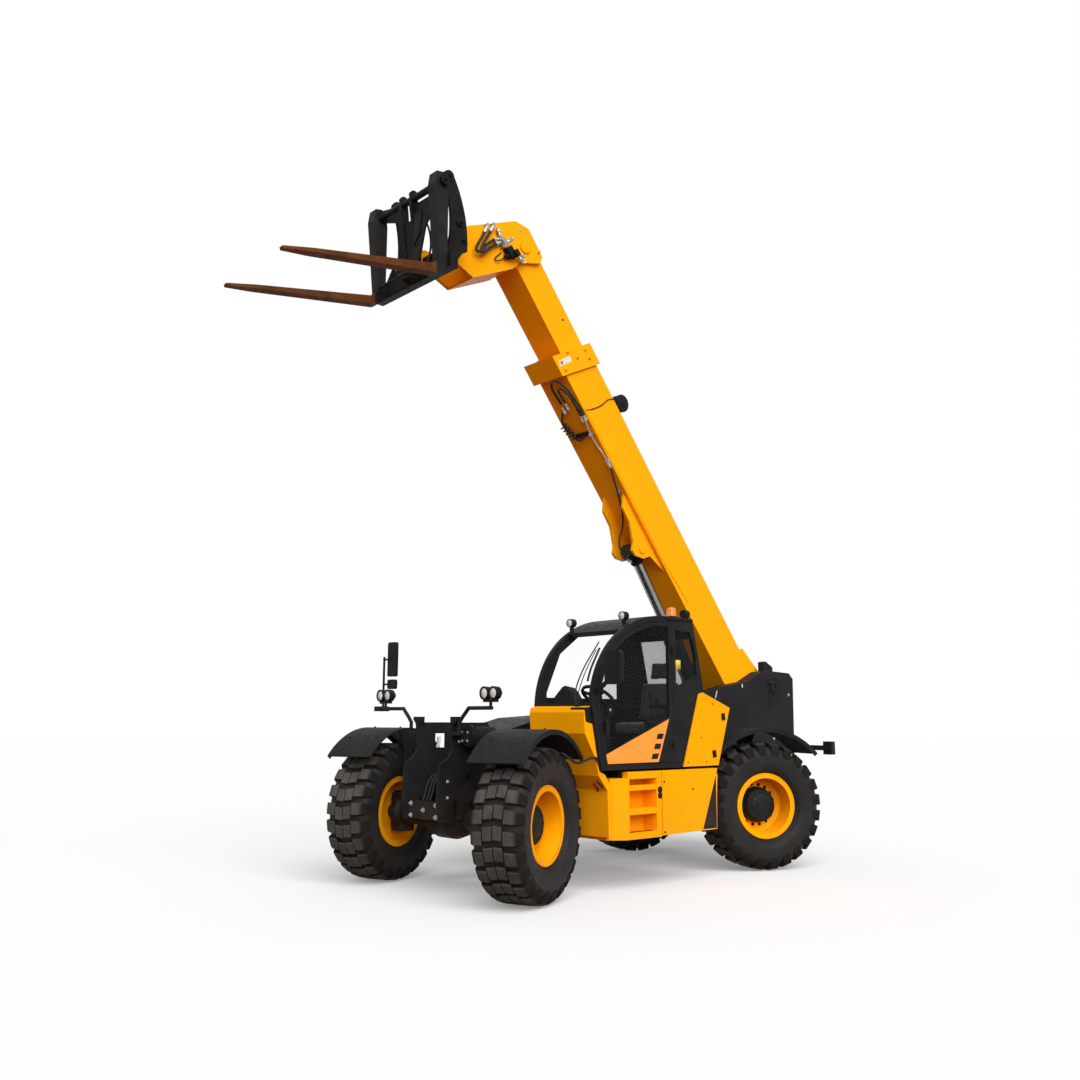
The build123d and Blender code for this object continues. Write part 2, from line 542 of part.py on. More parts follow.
# ---------------------------------------------------------------- fork carriage
TOP_PIN, MID_PIN = (203, 637), (50, 178)
SX, SZ = SHAFT_AHEAD, SHAFT_UP
with BuildPart() as fork_carriage:
    for y0 in (LINK_Y + LINK_T, -LINK_Y):
        with BuildSketch(tilt_side(y0)):
            # curved link up the back
            with BuildLine():
                Line((104, -194), (196, -146))
                ThreePointArc((196, -146), (168, 201), (264, 641))
                ThreePointArc((264, 641), (200, 700), (135, 655))
                ThreePointArc((135, 655), (0, 330), (-48, -102))
                Line((-48, -102), (104, -194))
            make_face()
            # arm forward to the shaft
            with BuildLine():
                Polyline((180, 560), (250, 620), (SX + 40, SZ + 50), (SX + 50, SZ - 30), (SX - 40, SZ - 50),
                         (190, 470), close=True)
            make_face()
            # arm down to the lower beam
            with BuildLine():
                Polyline((20, -150), (196, -146), (215, -10), (300, BEAM_HIGH + 20), (300, BEAM_LOW),
                         (210, BEAM_LOW), close=True)
            make_face()
        extrude(amount=LINK_T)
    # pin heads on the outside of the links
    for hand in (1, -1):
        for point, radius in [(TOP_PIN, 55), (MID_PIN, 42)]:
            with BuildSketch(tilt_side(hand * (LINK_Y + LINK_T))):
                with Locations(point):
                    Circle(radius)
            extrude(amount=-hand * 18)
    # shaft with its end collars, hinge tubes, tilt pin
    with BuildSketch(tilt_side(FORK_Y + FORK_HALF + 45)):
        with Locations((SX, SZ)):
            Circle(SHAFT_R)
    extrude(amount=2 * (FORK_Y + FORK_HALF + 45))
    for hand in (1, -1):
        with BuildSketch(tilt_side(hand * (FORK_Y + FORK_HALF + 20))):
            with Locations((SX, SZ)):
                Circle(SHAFT_R + 20)
        extrude(amount=-hand * 25)
        with BuildSketch(tilt_side(hand * (HEAD_HALF + GAP))):
            Circle(TILT_PIN_R + 30)
        extrude(amount=-hand * (LINK_Y - HEAD_HALF - GAP))
    with BuildSketch(tilt_side(LINK_Y)):
        Circle(TILT_PIN_R)
    extrude(amount=2 * LINK_Y)
    # lower beam
    with BuildSketch(tilt_side(FORK_Y + FORK_HALF + 55)):
        Polygon((210, BEAM_LOW), (300, BEAM_LOW), (300, BEAM_HIGH), (250, BEAM_HIGH), (210, BEAM_HIGH - 50),
                align=None)
    extrude(amount=2 * (FORK_Y + FORK_HALF + 55))
    # hangers in the middle, each with a round head over the shaft
    for y0 in (103, -73):
        with BuildSketch(tilt_side(y0)):
            with BuildLine():
                Polyline((SX - 45, SZ + 45), (SX + 40, SZ + 50), (SX + 40, SZ - 80), (300, BEAM_HIGH - 20),
                         (250, BEAM_HIGH - 20), (SX - 60, SZ - 80), close=True)
            make_face()
            with Locations((SX - 5, SZ + 40)):
                Circle(50)
        extrude(amount=30)
    # cross plate between the hangers
    with BuildSketch(tilt_side(73)):
        Polygon((275, BEAM_HIGH - 10), (290, BEAM_HIGH - 10), (SX - 2, 250), (SX - 20, 250), align=None)
    extrude(amount=146)
fork_carriage.part.label = "fork_carriage"
export_step(fork_carriage.part, "parts/fork_carriage.step")

for label, y in [("fork_left", FORK_Y), ("fork_right", -FORK_Y)]:
    with BuildPart() as fork:
        with BuildSketch(tilt_side(y + FORK_HALF)):
            with BuildLine():
                Polyline((300 + SEAT, BEAM_LOW), (390, BEAM_LOW - 80), (2040, -770), (2050, -745),
                         (470, BEAM_LOW - 5), (390, BEAM_LOW + 70), (SX + 100, SZ - 50), (SX + 80, SZ + 80),
                         (SX, SZ + 95), (SX - 50, SZ + 40), (300 + SEAT, SZ - 80), close=True)
            make_face()
            with Locations((SX, SZ)):
                Circle(SHAFT_R + FIT, mode=Mode.SUBTRACT)
        extrude(amount=2 * FORK_HALF)
        # the tine narrows to its tip
        for hand in (1, -1):
            with BuildSketch(plan(TILT_Z - 900)):
                Polygon((TILT_X + 1750, y + hand * (FORK_HALF + 1)), (TILT_X + 2060, y + hand * (FORK_HALF + 1)),
                        (TILT_X + 2060, y + hand * (FORK_HALF - 30)), align=None)
            extrude(amount=300, mode=Mode.SUBTRACT)
    fork.part.label = label
    export_step(fork.part, f"parts/{label}.step")


# ---------------------------------------------------------------- cab
def cab_face(inset):
    """Outline of the cab from the side, set in by a distance."""
    with BuildSketch(Plane.XY) as outline:
        with BuildLine():
            Line((CAB_BACK, CAB_FLOOR), (CAB_FOOT, CAB_FLOOR))
            Line((CAB_FOOT, CAB_FLOOR), (CAB_NOSE, CAB_SILL))
            ThreePointArc((CAB_NOSE, CAB_SILL), (CAB_NOSE - 150, CAB_EAVES - 315), (ROOF_FRONT, CAB_EAVES))
            ThreePointArc((ROOF_FRONT, CAB_EAVES), (ROOF_FRONT - 270, ROOF_Z - 35), (ROOF_TOP, ROOF_Z))
            Polyline((ROOF_TOP, ROOF_Z), (ROOF_BACK, ROOF_Z), (CAB_BACK, 1930), (CAB_BACK, CAB_FLOOR))
        make_face()
        if inset:
            offset(amount=-inset, mode=Mode.REPLACE)
    return outline.sketch


def door_face(inset, rear):
    """The door's opening: the cab's outline set in, cut off behind the line x = rear."""
    with BuildSketch(Plane.XY) as outline:
        add(cab_face(inset))
        Polygon((rear, 1000), (CAB_BACK - 200, 1000), (CAB_BACK - 200, 2800), (rear, 2800),
                align=None, mode=Mode.SUBTRACT)
    return outline.sketch


def door_pane(extra):
    """The glazed part of the door, above its slanting lower panel."""
    with BuildSketch(Plane.XY) as outline:
        add(door_face(PILLAR + DOOR_RIM + extra, DOOR_BACK + DOOR_RIM + extra))
        Polygon((FRONT - 600, 1160 + extra), (FRONT - 600, 1000), (REAR + 1005, 1000),
                (REAR + 1005, 1970 + extra), align=None, mode=Mode.SUBTRACT)
    return outline.sketch


QUARTER = [(DOOR_BACK - 60, 2550), (ROOF_BACK + 40, 2540), (ROOF_BACK - 30, 2367), (ROOF_BACK - 60, 2100),
           (DOOR_BACK - 60, 1950)]
RIGHT_PANE = [(DOOR_BACK - 30, 2580), (ROOF_FRONT - 100, 2500), (CAB_NOSE - 325, 2300), (CAB_NOSE - 135, 1900),
              (CAB_NOSE - 135, 1850), (DOOR_BACK - 30, 1850)]
WINDSCREEN = [(ROOF_FRONT + 60, CAB_SILL + 30), (CAB_NOSE + 200, CAB_SILL + 30),
              (CAB_NOSE + 200, CAB_EAVES - 10), (ROOF_FRONT + 60, CAB_EAVES - 10)]
BACK_PANE = [(CAB_BACK - 50, 1960), (ROOF_BACK, 1960), (ROOF_BACK, 2480), (CAB_BACK - 50, 2480)]
SCREEN_HALF = (SIDE_OUT - CAB_IN) / 2 - CAB_WALL - 10
with BuildPart() as cab_shell:
    with BuildSketch(side(SIDE_OUT)):
        add(cab_face(0))
    extrude(amount=SIDE_OUT - CAB_IN)
    with BuildSketch(side(SIDE_OUT - CAB_WALL)):
        add(cab_face(CAB_WALL))
    extrude(amount=SIDE_OUT - CAB_IN - 2 * CAB_WALL, mode=Mode.SUBTRACT)
    # door opening
    with BuildSketch(side(SIDE_OUT + 1)):
        add(door_face(PILLAR, DOOR_BACK))
    extrude(amount=CAB_WALL + 2, mode=Mode.SUBTRACT)
    # windscreen opening
    with BuildSketch(side(CAB_MID + SCREEN_HALF)):
        Polygon(*WINDSCREEN, align=None)
    extrude(amount=2 * SCREEN_HALF, mode=Mode.SUBTRACT)
    # left quarter window
    with BuildSketch(side(SIDE_OUT + 1)):
        Polygon(*QUARTER, align=None)
    extrude(amount=CAB_WALL + 2, mode=Mode.SUBTRACT)
    # right window
    with BuildSketch(side(CAB_IN + CAB_WALL + 1)):
        Polygon(*RIGHT_PANE, align=None)
    extrude(amount=CAB_WALL + 2, mode=Mode.SUBTRACT)
    # back window
    with BuildSketch(side(CAB_MID + SCREEN_HALF)):
        Polygon(*BACK_PANE, align=None)
    extrude(amount=2 * SCREEN_HALF, mode=Mode.SUBTRACT)
    # roof gutter lip over the door
    with BuildSketch(side(SIDE_OUT + 14)):
        Polygon((ROOF_BACK, ROOF_Z - 30), (ROOF_TOP, ROOF_Z - 30), (ROOF_TOP, ROOF_Z - 12),
                (ROOF_BACK, ROOF_Z - 12), align=None)
    extrude(amount=14)
    # fixed halves of the door's hinges
    for z in DOOR_HINGES:
        with BuildSketch(plan(z)):
            with Locations((DOOR_BACK - 32, SIDE_OUT + 4)):
                Rectangle(44, 8)
            with Locations((DOOR_BACK - 8, SIDE_OUT + 7)):
                Rectangle(16, 6)
            with Locations((DOOR_BACK, SIDE_OUT + HINGE_OUT)):
                Circle(HINGE_R)
        extrude(amount=40)
        with BuildSketch(plan(z)):
            with Locations((DOOR_BACK, SIDE_OUT + HINGE_OUT)):
                Circle(HINGE_PIN_R)
        extrude(amount=80)
cab_shell.part.label = "cab_shell"
export_step(cab_shell.part, "parts/cab_shell.step")

with BuildPart() as door_frame:
    with BuildSketch(side(SIDE_OUT)):
        add(door_face(PILLAR + GAP, DOOR_BACK + GAP))
    extrude(amount=CAB_WALL)
    with BuildSketch(side(SIDE_OUT + 1)):
        add(door_pane(0))
    extrude(amount=CAB_WALL + 2, mode=Mode.SUBTRACT)
    # moving halves of the hinges
    for z in DOOR_HINGES:
        with BuildSketch(plan(z + 41)):
            with Locations((DOOR_BACK + 34, SIDE_OUT + 4)):
                Rectangle(44, 8)
            with Locations((DOOR_BACK + 8, SIDE_OUT + 7)):
                Rectangle(16, 6)
            with Locations((DOOR_BACK, SIDE_OUT + HINGE_OUT)):
                Circle(HINGE_R)
                Circle(HINGE_PIN_R + FIT, mode=Mode.SUBTRACT)
        extrude(amount=39)
    # pull handle near the front edge
    with BuildSketch(plan(1500)):
        with Locations((CAB_NOSE - 175, SIDE_OUT + 9)):
            Rectangle(30, 18)
    extrude(amount=110)
door_frame.part.label = "door_frame"
export_step(door_frame.part, "parts/door_frame.step")

with BuildPart() as door_glass:
    with BuildSketch(side(SIDE_OUT - PANE_IN)):
        add(door_pane(SEAT))
    extrude(amount=PANE_T)
door_glass.part.label = "door_glass"
export_step(door_glass.part, "parts/door_glass.step")

for label, corners in [("windscreen", WINDSCREEN), ("back_glass", BACK_PANE)]:
    with BuildPart() as pane:
        with BuildSketch(side(CAB_MID + SCREEN_HALF)):
            add(cab_face(PANE_IN + 2))
            add(cab_face(PANE_IN + 2 + PANE_T), mode=Mode.SUBTRACT)
            Polygon(*corners, align=None, mode=Mode.INTERSECT)
        extrude(amount=2 * SCREEN_HALF)
    pane.part.label = label
    export_step(pane.part, f"parts/{label}.step")

for label, y, corners in [("quarter_glass", SIDE_OUT - PANE_IN, QUARTER),
                          ("right_glass", CAB_IN + PANE_IN + PANE_T, RIGHT_PANE)]:
    with BuildPart() as pane:
        with BuildSketch(side(y)):
            Polygon(*corners, align=None)
        extrude(amount=PANE_T)
    pane.part.label = label
    export_step(pane.part, f"parts/{label}.step")

SEAT_X, SEAT_HALF = CAB_BACK + 450, 250
with BuildPart() as seat:
    with BuildSketch(plan(CAB_FLOOR + CAB_WALL)):
        with Locations((SEAT_X, CAB_MID)):
            Rectangle(350, 350)
    extrude(amount=300)
    with BuildSketch(side(CAB_MID + SEAT_HALF)):
        with BuildLine():
            Polyline((SEAT_X + 270, 1490), (SEAT_X + 280, 1590), (SEAT_X - 80, 1600), (SEAT_X - 190, 2050),
                     (SEAT_X - 270, 2050), (SEAT_X - 210, 1490), close=True)
        make_face()
    extrude(amount=2 * SEAT_HALF)
    # headrest
    with BuildSketch(side(CAB_MID + 140)):
        Polygon((SEAT_X - 185, 2040), (SEAT_X - 225, 2250), (SEAT_X - 300, 2240), (SEAT_X - 268, 2040),
                align=None)
    extrude(amount=280)
    # armrests
    for y in (CAB_MID + SEAT_HALF, CAB_MID - SEAT_HALF + 60):
        with BuildSketch(side(y)):
            Polygon((SEAT_X - 130, 1740), (SEAT_X + 200, 1740), (SEAT_X + 200, 1790), (SEAT_X - 140, 1790),
                    align=None)
        extrude(amount=60)
seat.part.label = "seat"
export_step(seat.part, "parts/seat.step")

WHEEL_X, WHEEL_Z, WHEEL_R, WHEEL_TILT = CAB_NOSE - 500, 1860, 185, 35
with BuildPart() as console:
    with BuildSketch(side(SIDE_OUT - 100)):
        with BuildLine():
            Polyline((CAB_NOSE - 330, CAB_FLOOR + CAB_WALL), (CAB_NOSE - 185, CAB_FLOOR + CAB_WALL),
                     (CAB_NOSE - 85, 1700), (CAB_NOSE - 170, 1780), (CAB_NOSE - 340, 1740),
                     (CAB_NOSE - 360, 1650), close=True)
        make_face()
    extrude(amount=SIDE_OUT - CAB_IN - 200)
    # steering column, hub, spokes and rim
    column = Plane(origin=(WHEEL_X - ORIGIN_FORWARD, CAB_MID, WHEEL_Z), x_dir=(0, 1, 0),
                   z_dir=(-sin(radians(WHEEL_TILT)), 0, cos(radians(WHEEL_TILT))))
    with BuildSketch(column.offset(-230)):
        Circle(32)
    extrude(amount=240)
    with BuildSketch(column.offset(-12)):
        Circle(WHEEL_R)
        Circle(WHEEL_R - 26, mode=Mode.SUBTRACT)
        with PolarLocations(WHEEL_R / 2, 3, start_angle=90):
            Rectangle(WHEEL_R - 10, 28)
        Circle(45)
    extrude(amount=24)
console.part.label = "console"
export_step(console.part, "parts/console.step")

# ---------------------------------------------------------------- bodywork
BOX_TOP = CAB_FLOOR - 80
with BuildPart() as front_cowl:
    with BuildSketch(side(SIDE_OUT - 30)):
        with BuildLine():
            Polyline((CAB_NOSE, CAB_SILL), (CAB_NOSE + 65, CAB_SILL - 15), (CAB_NOSE + 80, CAB_SILL - 60),
                     (CAB_NOSE + 65, 1500), (FRONT - 745, 1350), (FRONT - 800, 1255), (FRONT - 840, 1100),
                     (FRONT - 955, 960), (FRONT - 970, 520), (FRONT - 1000, 520), (FRONT - 1000, 1000),
                     (FRONT - 925, 1110), (CAB_FOOT, CAB_FLOOR), close=True)
        make_face()
    extrude(amount=SIDE_OUT - 30 - CAB_IN - 20)
front_cowl.part.label = "front_cowl"
export_step(front_cowl.part, "parts/front_cowl.step")

BOX_FRONT, BOX_SPLIT = FRONT - 1005, REAR + 1925
STEPS = [(1000, 1060), (780, 950), (550, 720)]      # height from, height to
with BuildPart() as step_box:
    with BuildSketch(side(BODY_OUT)):
        Polygon((BOX_SPLIT + 5, 490), (BOX_FRONT, 490), (BOX_FRONT - 30, BOX_TOP), (BOX_SPLIT + 5, BOX_TOP),
                align=None)
    extrude(amount=640)
    # the front corner slants in
    with BuildSketch(plan(400)):
        Polygon((BOX_FRONT - 180, BODY_OUT + 1), (BOX_FRONT + 1, BODY_OUT + 1), (BOX_FRONT + 1, BODY_OUT - 120),
                align=None)
    extrude(amount=800, mode=Mode.SUBTRACT)
    # sill lip along the cab
    with BuildSketch(side(BODY_OUT)):
        Polygon((BOX_SPLIT + 5, BOX_TOP - 10), (BOX_FRONT - 180, BOX_TOP - 10), (BOX_FRONT - 180, BOX_TOP + 60),
                (BOX_SPLIT + 5, BOX_TOP + 60), align=None)
    extrude(amount=75)
    for z0, z1 in STEPS:
        with BuildSketch(side(BODY_OUT + 1)):
            with BuildLine():
                Polyline((BOX_SPLIT + 80, z0), (BOX_FRONT - 205, z0), (BOX_FRONT - 205, z1),
                         (BOX_SPLIT + 80, z1), close=True)
            make_face()
        extrude(amount=180, mode=Mode.SUBTRACT)
step_box.part.label = "step_box"
export_step(step_box.part, "parts/step_box.step")

PANEL_BACK = REAR + 1035
with BuildPart() as side_panel_lower:
    with BuildSketch(side(BODY_OUT)):
        Polygon((BOX_SPLIT - 5, 500), (BOX_SPLIT - 5, BOX_TOP), (PANEL_BACK, BOX_TOP),
                (PANEL_BACK + 37, 510), align=None)
    extrude(amount=500)
    with BuildSketch(side(BODY_OUT)):
        Polygon((BOX_SPLIT - 5, BOX_TOP - 10), (PANEL_BACK + 20, BOX_TOP - 10), (PANEL_BACK, BOX_TOP + 60),
                (BOX_SPLIT - 5, BOX_TOP + 60), align=None)
    extrude(amount=75)
side_panel_lower.part.label = "side_panel_lower"
export_step(side_panel_lower.part, "parts/side_panel_lower.step")

with BuildPart() as side_panel_upper:
    # box behind the cab
    with BuildSketch(side(SIDE_OUT + 15)):
        Polygon((CAB_BACK, CAB_FLOOR + 7), (REAR + 1005, CAB_FLOOR + 7), (REAR + 788, 1760),
                (CAB_BACK, 1905), align=None)
    extrude(amount=400)
    # plate over the cab's rear corner
    with BuildSketch(side(SIDE_OUT + 15)):
        Polygon((CAB_BACK + 100, 1900), (CAB_BACK + 33, 1917), (CAB_BACK - 20, 1897), (CAB_BACK - 20, 1157),
                (CAB_BACK + 367, 1157), align=None)
    extrude(amount=15)
side_panel_upper.part.label = "side_panel_upper"
export_step(side_panel_upper.part, "parts/side_panel_upper.step")

# engine bay, engine and hood on the right
BAY_WALL = 20
BAY_IN, BAY_OUT = RAIL_OUT + 20, SIDE_OUT - 20
BAY_LOW, HOOD_LOW = FRAME_LOW + 100, FRAME_TOP + 6
BAY_FRONT, BAY_BACK = FRONT - 955, REAR + 855
HOOD_IN = 440
HINGE_X, HINGE_Z = BAY_BACK - 20, 1700
HOOD_PINS = (550, 1080)     # how far right the two hinges lie
with BuildPart() as engine_bay:
    with BuildSketch(side(-BAY_IN)):
        Polygon((BAY_FRONT - 50, BAY_LOW), (BAY_FRONT, FRAME_TOP), (BAY_BACK, FRAME_TOP),
                (BAY_BACK + 50, BAY_LOW), align=None)
    extrude(amount=BAY_OUT - BAY_IN)
    with BuildSketch(side(-BAY_IN - BAY_WALL)):
        Polygon((BAY_FRONT - 70, BAY_LOW + BAY_WALL), (BAY_FRONT - 70, 1200), (BAY_BACK + 70, 1200),
                (BAY_BACK + 70, BAY_LOW + BAY_WALL), align=None)
    extrude(amount=BAY_OUT - BAY_IN - 2 * BAY_WALL, mode=Mode.SUBTRACT)
    # posts behind the hood with its hinge pins
    for y in HOOD_PINS:
        with BuildSketch(side(-y + 20)):
            with BuildLine():
                Polyline((BAY_BACK + 30, 1060), (HINGE_X - 14, 1120), (HINGE_X - 14, HINGE_Z),
                         (HINGE_X + 14, HINGE_Z), (HINGE_X + 14, FRAME_TOP), (BAY_BACK + 30, FRAME_TOP),
                         close=True)
            make_face()
            with Locations((HINGE_X, HINGE_Z)):
                Circle(14)
        extrude(amount=40)
        with BuildSketch(side(-y + 45, HINGE_X, HINGE_Z)):
            Circle(7)
        extrude(amount=90)
engine_bay.part.label = "engine_bay"
export_step(engine_bay.part, "parts/engine_bay.step")

with BuildPart() as engine_block:
    with BuildSketch(plan(BAY_LOW + BAY_WALL)):
        with Locations(((BAY_FRONT + BAY_BACK) / 2 + 50, -(BAY_IN + BAY_OUT) / 2)):
            Rectangle(900, 600)
    extrude(amount=650)
engine_block.part.label = "engine_block"
export_step(engine_block.part, "parts/engine_block.step")


def hood_face(inset):
    """Outline of the engine hood from the side, set in by a distance, open below."""
    return [(BAY_FRONT - inset, HOOD_LOW - inset), (FRONT - 1055 - inset, 1510 - inset),
            (FRONT - 1605, 1646 - inset), (BAY_BACK + inset, 1720 - inset), (BAY_BACK + inset, HOOD_LOW - inset)]


with BuildPart() as engine_hood:
    with BuildSketch(side(-HOOD_IN)):
        Polygon(*hood_face(0), align=None)
    extrude(amount=SIDE_OUT - HOOD_IN)
    with BuildSketch(side(-HOOD_IN - 6)):
        Polygon(*hood_face(6), align=None)
    extrude(amount=SIDE_OUT - HOOD_IN - 12, mode=Mode.SUBTRACT)
    # louvres on the outer side
    for row in range(6):
        with BuildSketch(side(-SIDE_OUT)):
            with Locations((BAY_BACK + 450, 1230 + 60 * row)):
                Rectangle(560, 22)
        extrude(amount=10)
    # hinge lugs, two beside each post
    for y in HOOD_PINS:
        for y0 in (-y + 42, -y - 24):
            with BuildSketch(side(y0)):
                with BuildLine():
                    Polyline((BAY_BACK + 3, HINGE_Z - 25), (HINGE_X, HINGE_Z - 13), (HINGE_X, HINGE_Z + 13),
                             (BAY_BACK + 3, HINGE_Z + 13), close=True)
                make_face()
                with Locations((HINGE_X, HINGE_Z)):
                    Circle(13)
                    Circle(7 + FIT, mode=Mode.SUBTRACT)
            extrude(amount=18)
engine_hood.part.label = "engine_hood"
export_step(engine_hood.part, "parts/engine_hood.step")

# round filter housing on the outside of the left nose plate
CANISTER_R, CANISTER_Y, CANISTER_Z = 90, RAIL_OUT + 130, 1470
with BuildPart() as filter_canister:
    with BuildSketch(section(FRONT - 155)):
        with Locations((CANISTER_Y, CANISTER_Z)):
            Circle(CANISTER_R)
    extrude(amount=310)
    with BuildSketch(section(FRONT + 105)):
        with Locations((CANISTER_Y, CANISTER_Z)):
            Circle(CANISTER_R + 12)
    extrude(amount=30)
    with BuildSketch(section(FRONT + 155)):
        with Locations((CANISTER_Y, CANISTER_Z)):
            RectangleRounded(110, 110, 20)
    extrude(amount=25)
    with BuildSketch(section(FRONT - 100)):
        Polygon((RAIL_OUT, CANISTER_Z - 60), (CANISTER_Y, CANISTER_Z - 60), (CANISTER_Y, CANISTER_Z + 20),
                (RAIL_OUT, CANISTER_Z + 20), align=None)
    extrude(amount=200)
filter_canister.part.label = "filter_canister"
export_step(filter_canister.part, "parts/filter_canister.step")

# ---------------------------------------------------------------- lamps, mirrors, beacon
LAMP_X, TUBE_Z, TUBE_R = FRONT + 225, 1735, 18
for label, hand, tube_end in [("front_lamp_left", 1, 870), ("front_lamp_right", -1, 925)]:
    with BuildPart() as lamp:
        x = LAMP_X - ORIGIN_FORWARD
        with BuildLine():
            Polyline((x, hand * 390, 1500), (x, hand * 390, 1600), (x, hand * 436, 1650),
                     (x, hand * 530, TUBE_Z), (x, hand * tube_end, TUBE_Z))
        with BuildSketch(plan(1500)):
            with Locations((LAMP_X, hand * 390)):
                Circle(TUBE_R)
        sweep(transition=Transition.RIGHT)
        # foot on the side plate
        with BuildSketch(plan(1480)):
            with Locations((LAMP_X - 10, hand * (RAIL_OUT + 415) / 2)):
                Rectangle(56, 415 - RAIL_OUT)
        extrude(amount=30)
        # stem and cross bar that carry the two round lamps
        with BuildSketch(plan(TUBE_Z)):
            with Locations((LAMP_X, hand * 852)):
                Circle(14)
        extrude(amount=70)
        with BuildSketch(section(LAMP_X - 15)):
            with Locations((hand * 852, 1800)):
                Rectangle(190, 26)
        extrude(amount=30)
        for y in (787, 917):
            centre = Plane(origin=(x, hand * y, 1870), x_dir=(1, 0, 0), z_dir=(0, 0, 1))
            with BuildSketch(centre):
                Polygon((-62, 0), (-62, 26), (-30, 58), (34, 62), (34, 55), (26, 52), (26, 0), align=None)
            revolve(axis=Axis(centre.origin, centre.x_dir))
    lamp.part.label = label
    export_step(lamp.part, f"parts/{label}.step")

MIRROR_Y = SIDE_OUT + 145
with BuildPart() as mirror_left:
    with BuildSketch(section(CAB_NOSE - 70)):
        Polygon((SIDE_OUT, 1870), (SIDE_OUT + 15, 1870), (MIRROR_Y + 30, 1990), (MIRROR_Y + 30, 2020),
                (SIDE_OUT + 15, 1925), (SIDE_OUT, 1925), align=None)
    extrude(amount=30)
    with BuildSketch(section(CAB_NOSE - 80)):
        with Locations((MIRROR_Y + 102, 2118)):
            RectangleRounded(204, 315, 40)
    extrude(amount=55)
mirror_left.part.label = "mirror_left"
export_step(mirror_left.part, "parts/mirror_left.step")

with BuildPart() as mirror_right:
    # clamp on the end of the lamp's tube, upright tube, two mirrors on short arms
    with BuildSketch(section(LAMP_X - 95)):
        with Locations((-980, TUBE_Z)):
            Rectangle(110, 50)
    extrude(amount=115)
    with BuildSketch(plan(TUBE_Z)):
        with Locations((LAMP_X - 80, -1020)):
            Circle(12)
    extrude(amount=545)
    for z0, z1, y0, y1 in [(2070, 2430, -820, -960), (1940, 2040, -825, -955)]:
        with BuildSketch(section(LAMP_X - 120)):
            with Locations(((y0 + y1) / 2, (z0 + z1) / 2)):
                RectangleRounded(y0 - y1, z1 - z0, 25)
        extrude(amount=40)
    for z in (1990, 2250):
        with BuildSketch(section(LAMP_X - 89)):
            with Locations((-960, z)):
                Rectangle(130, 18)
        extrude(amount=18)
mirror_right.part.label = "mirror_right"
export_step(mirror_right.part, "parts/mirror_right.step")

with BuildPart() as roof_lamps:
    # round work lamps on feet that follow the roof: x, y, z of the lamp's middle
    for lx, ly, lz in [(ROOF_TOP + 497, SIDE_OUT - 120, 2668), (ROOF_TOP + 660, CAB_IN + 110, 2620),
                       (ROOF_BACK - 30, SIDE_OUT - 120, 2750)]:
        with BuildSketch(side(ly + 12)):
            with Locations((lx, lz - 75)):
                Rectangle(40, 150)
            add(cab_face(-SEAT), mode=Mode.SUBTRACT)
        extrude(amount=24)
        with BuildSketch(section(lx - 30)):
            with Locations((ly, lz)):
                Circle(44)
        extrude(amount=64)
roof_lamps.part.label = "roof_lamps"
export_step(roof_lamps.part, "parts/roof_lamps.step")

with BuildPart() as rear_lamps:
    for hand in (1, -1):
        with BuildSketch(section(REAR - 1565)):
            with Locations((hand * (TOWER_OUT + 1000) / 2, 1290)):
                Rectangle(1000 - TOWER_OUT, 60)
        extrude(amount=60)
        with BuildSketch(section(REAR - 1595)):
            with Locations((hand * 960, 1290)):
                Rectangle(120, 160)
        extrude(amount=80)
    # work lamp on top of the left tower
    with BuildSketch(side(350)):
        Polygon((REAR - 1283, PIVOT_Z + 178.1), (REAR - 1083, PIVOT_Z + 186.1), (REAR - 1083, PIVOT_Z + 300),
                (REAR - 1140, PIVOT_Z + 310), (REAR - 1283, PIVOT_Z + 240), align=None)
    extrude(amount=80)
rear_lamps.part.label = "rear_lamps"
export_step(rear_lamps.part, "parts/rear_lamps.step")

with BuildPart() as beacon:
    with BuildSketch(plan(ROOF_Z)):
        with Locations((ROOF_BACK + 77, SIDE_OUT - 220)):
            Circle(62)
    extrude(amount=50)
    with BuildSketch(plan(ROOF_Z + 50)):
        with Locations((ROOF_BACK + 77, SIDE_OUT - 220)):
            Circle(54)
    extrude(amount=125, taper=6)
beacon.part.label = "beacon"
export_step(beacon.part, "parts/beacon.step")
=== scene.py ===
from math import cos, exp, pi, radians, sin

import bmesh
import bpy
from mathutils import Matrix, Vector


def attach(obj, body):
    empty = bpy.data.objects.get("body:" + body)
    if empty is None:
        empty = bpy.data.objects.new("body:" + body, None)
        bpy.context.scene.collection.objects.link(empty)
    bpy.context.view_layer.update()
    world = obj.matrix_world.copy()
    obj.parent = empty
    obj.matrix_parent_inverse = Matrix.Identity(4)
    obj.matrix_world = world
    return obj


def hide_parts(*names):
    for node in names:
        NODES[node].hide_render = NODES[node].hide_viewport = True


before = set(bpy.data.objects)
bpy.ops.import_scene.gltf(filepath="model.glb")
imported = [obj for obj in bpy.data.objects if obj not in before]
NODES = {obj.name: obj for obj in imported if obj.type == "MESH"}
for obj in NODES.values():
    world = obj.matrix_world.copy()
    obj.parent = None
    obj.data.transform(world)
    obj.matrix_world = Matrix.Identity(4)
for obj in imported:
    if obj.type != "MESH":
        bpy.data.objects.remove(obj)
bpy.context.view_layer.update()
SCENE = bpy.context.scene

# X below counts from the middle of the wheelbase, as in the source; SHIFT takes it to the part's frame.
SHIFT = 0.35
BOOM_ANGLE = radians(51.1)
BC, BS = cos(BOOM_ANGLE), sin(BOOM_ANGLE)


def at(x, y, z):
    return Vector((x - SHIFT, y, z))


def boom(u, w, y):
    """A point on the boom: u along it from the pivot, w square to it, y to the left."""
    return at(-3.0 + u * BC - w * BS, y, 2.06 + u * BS + w * BC)


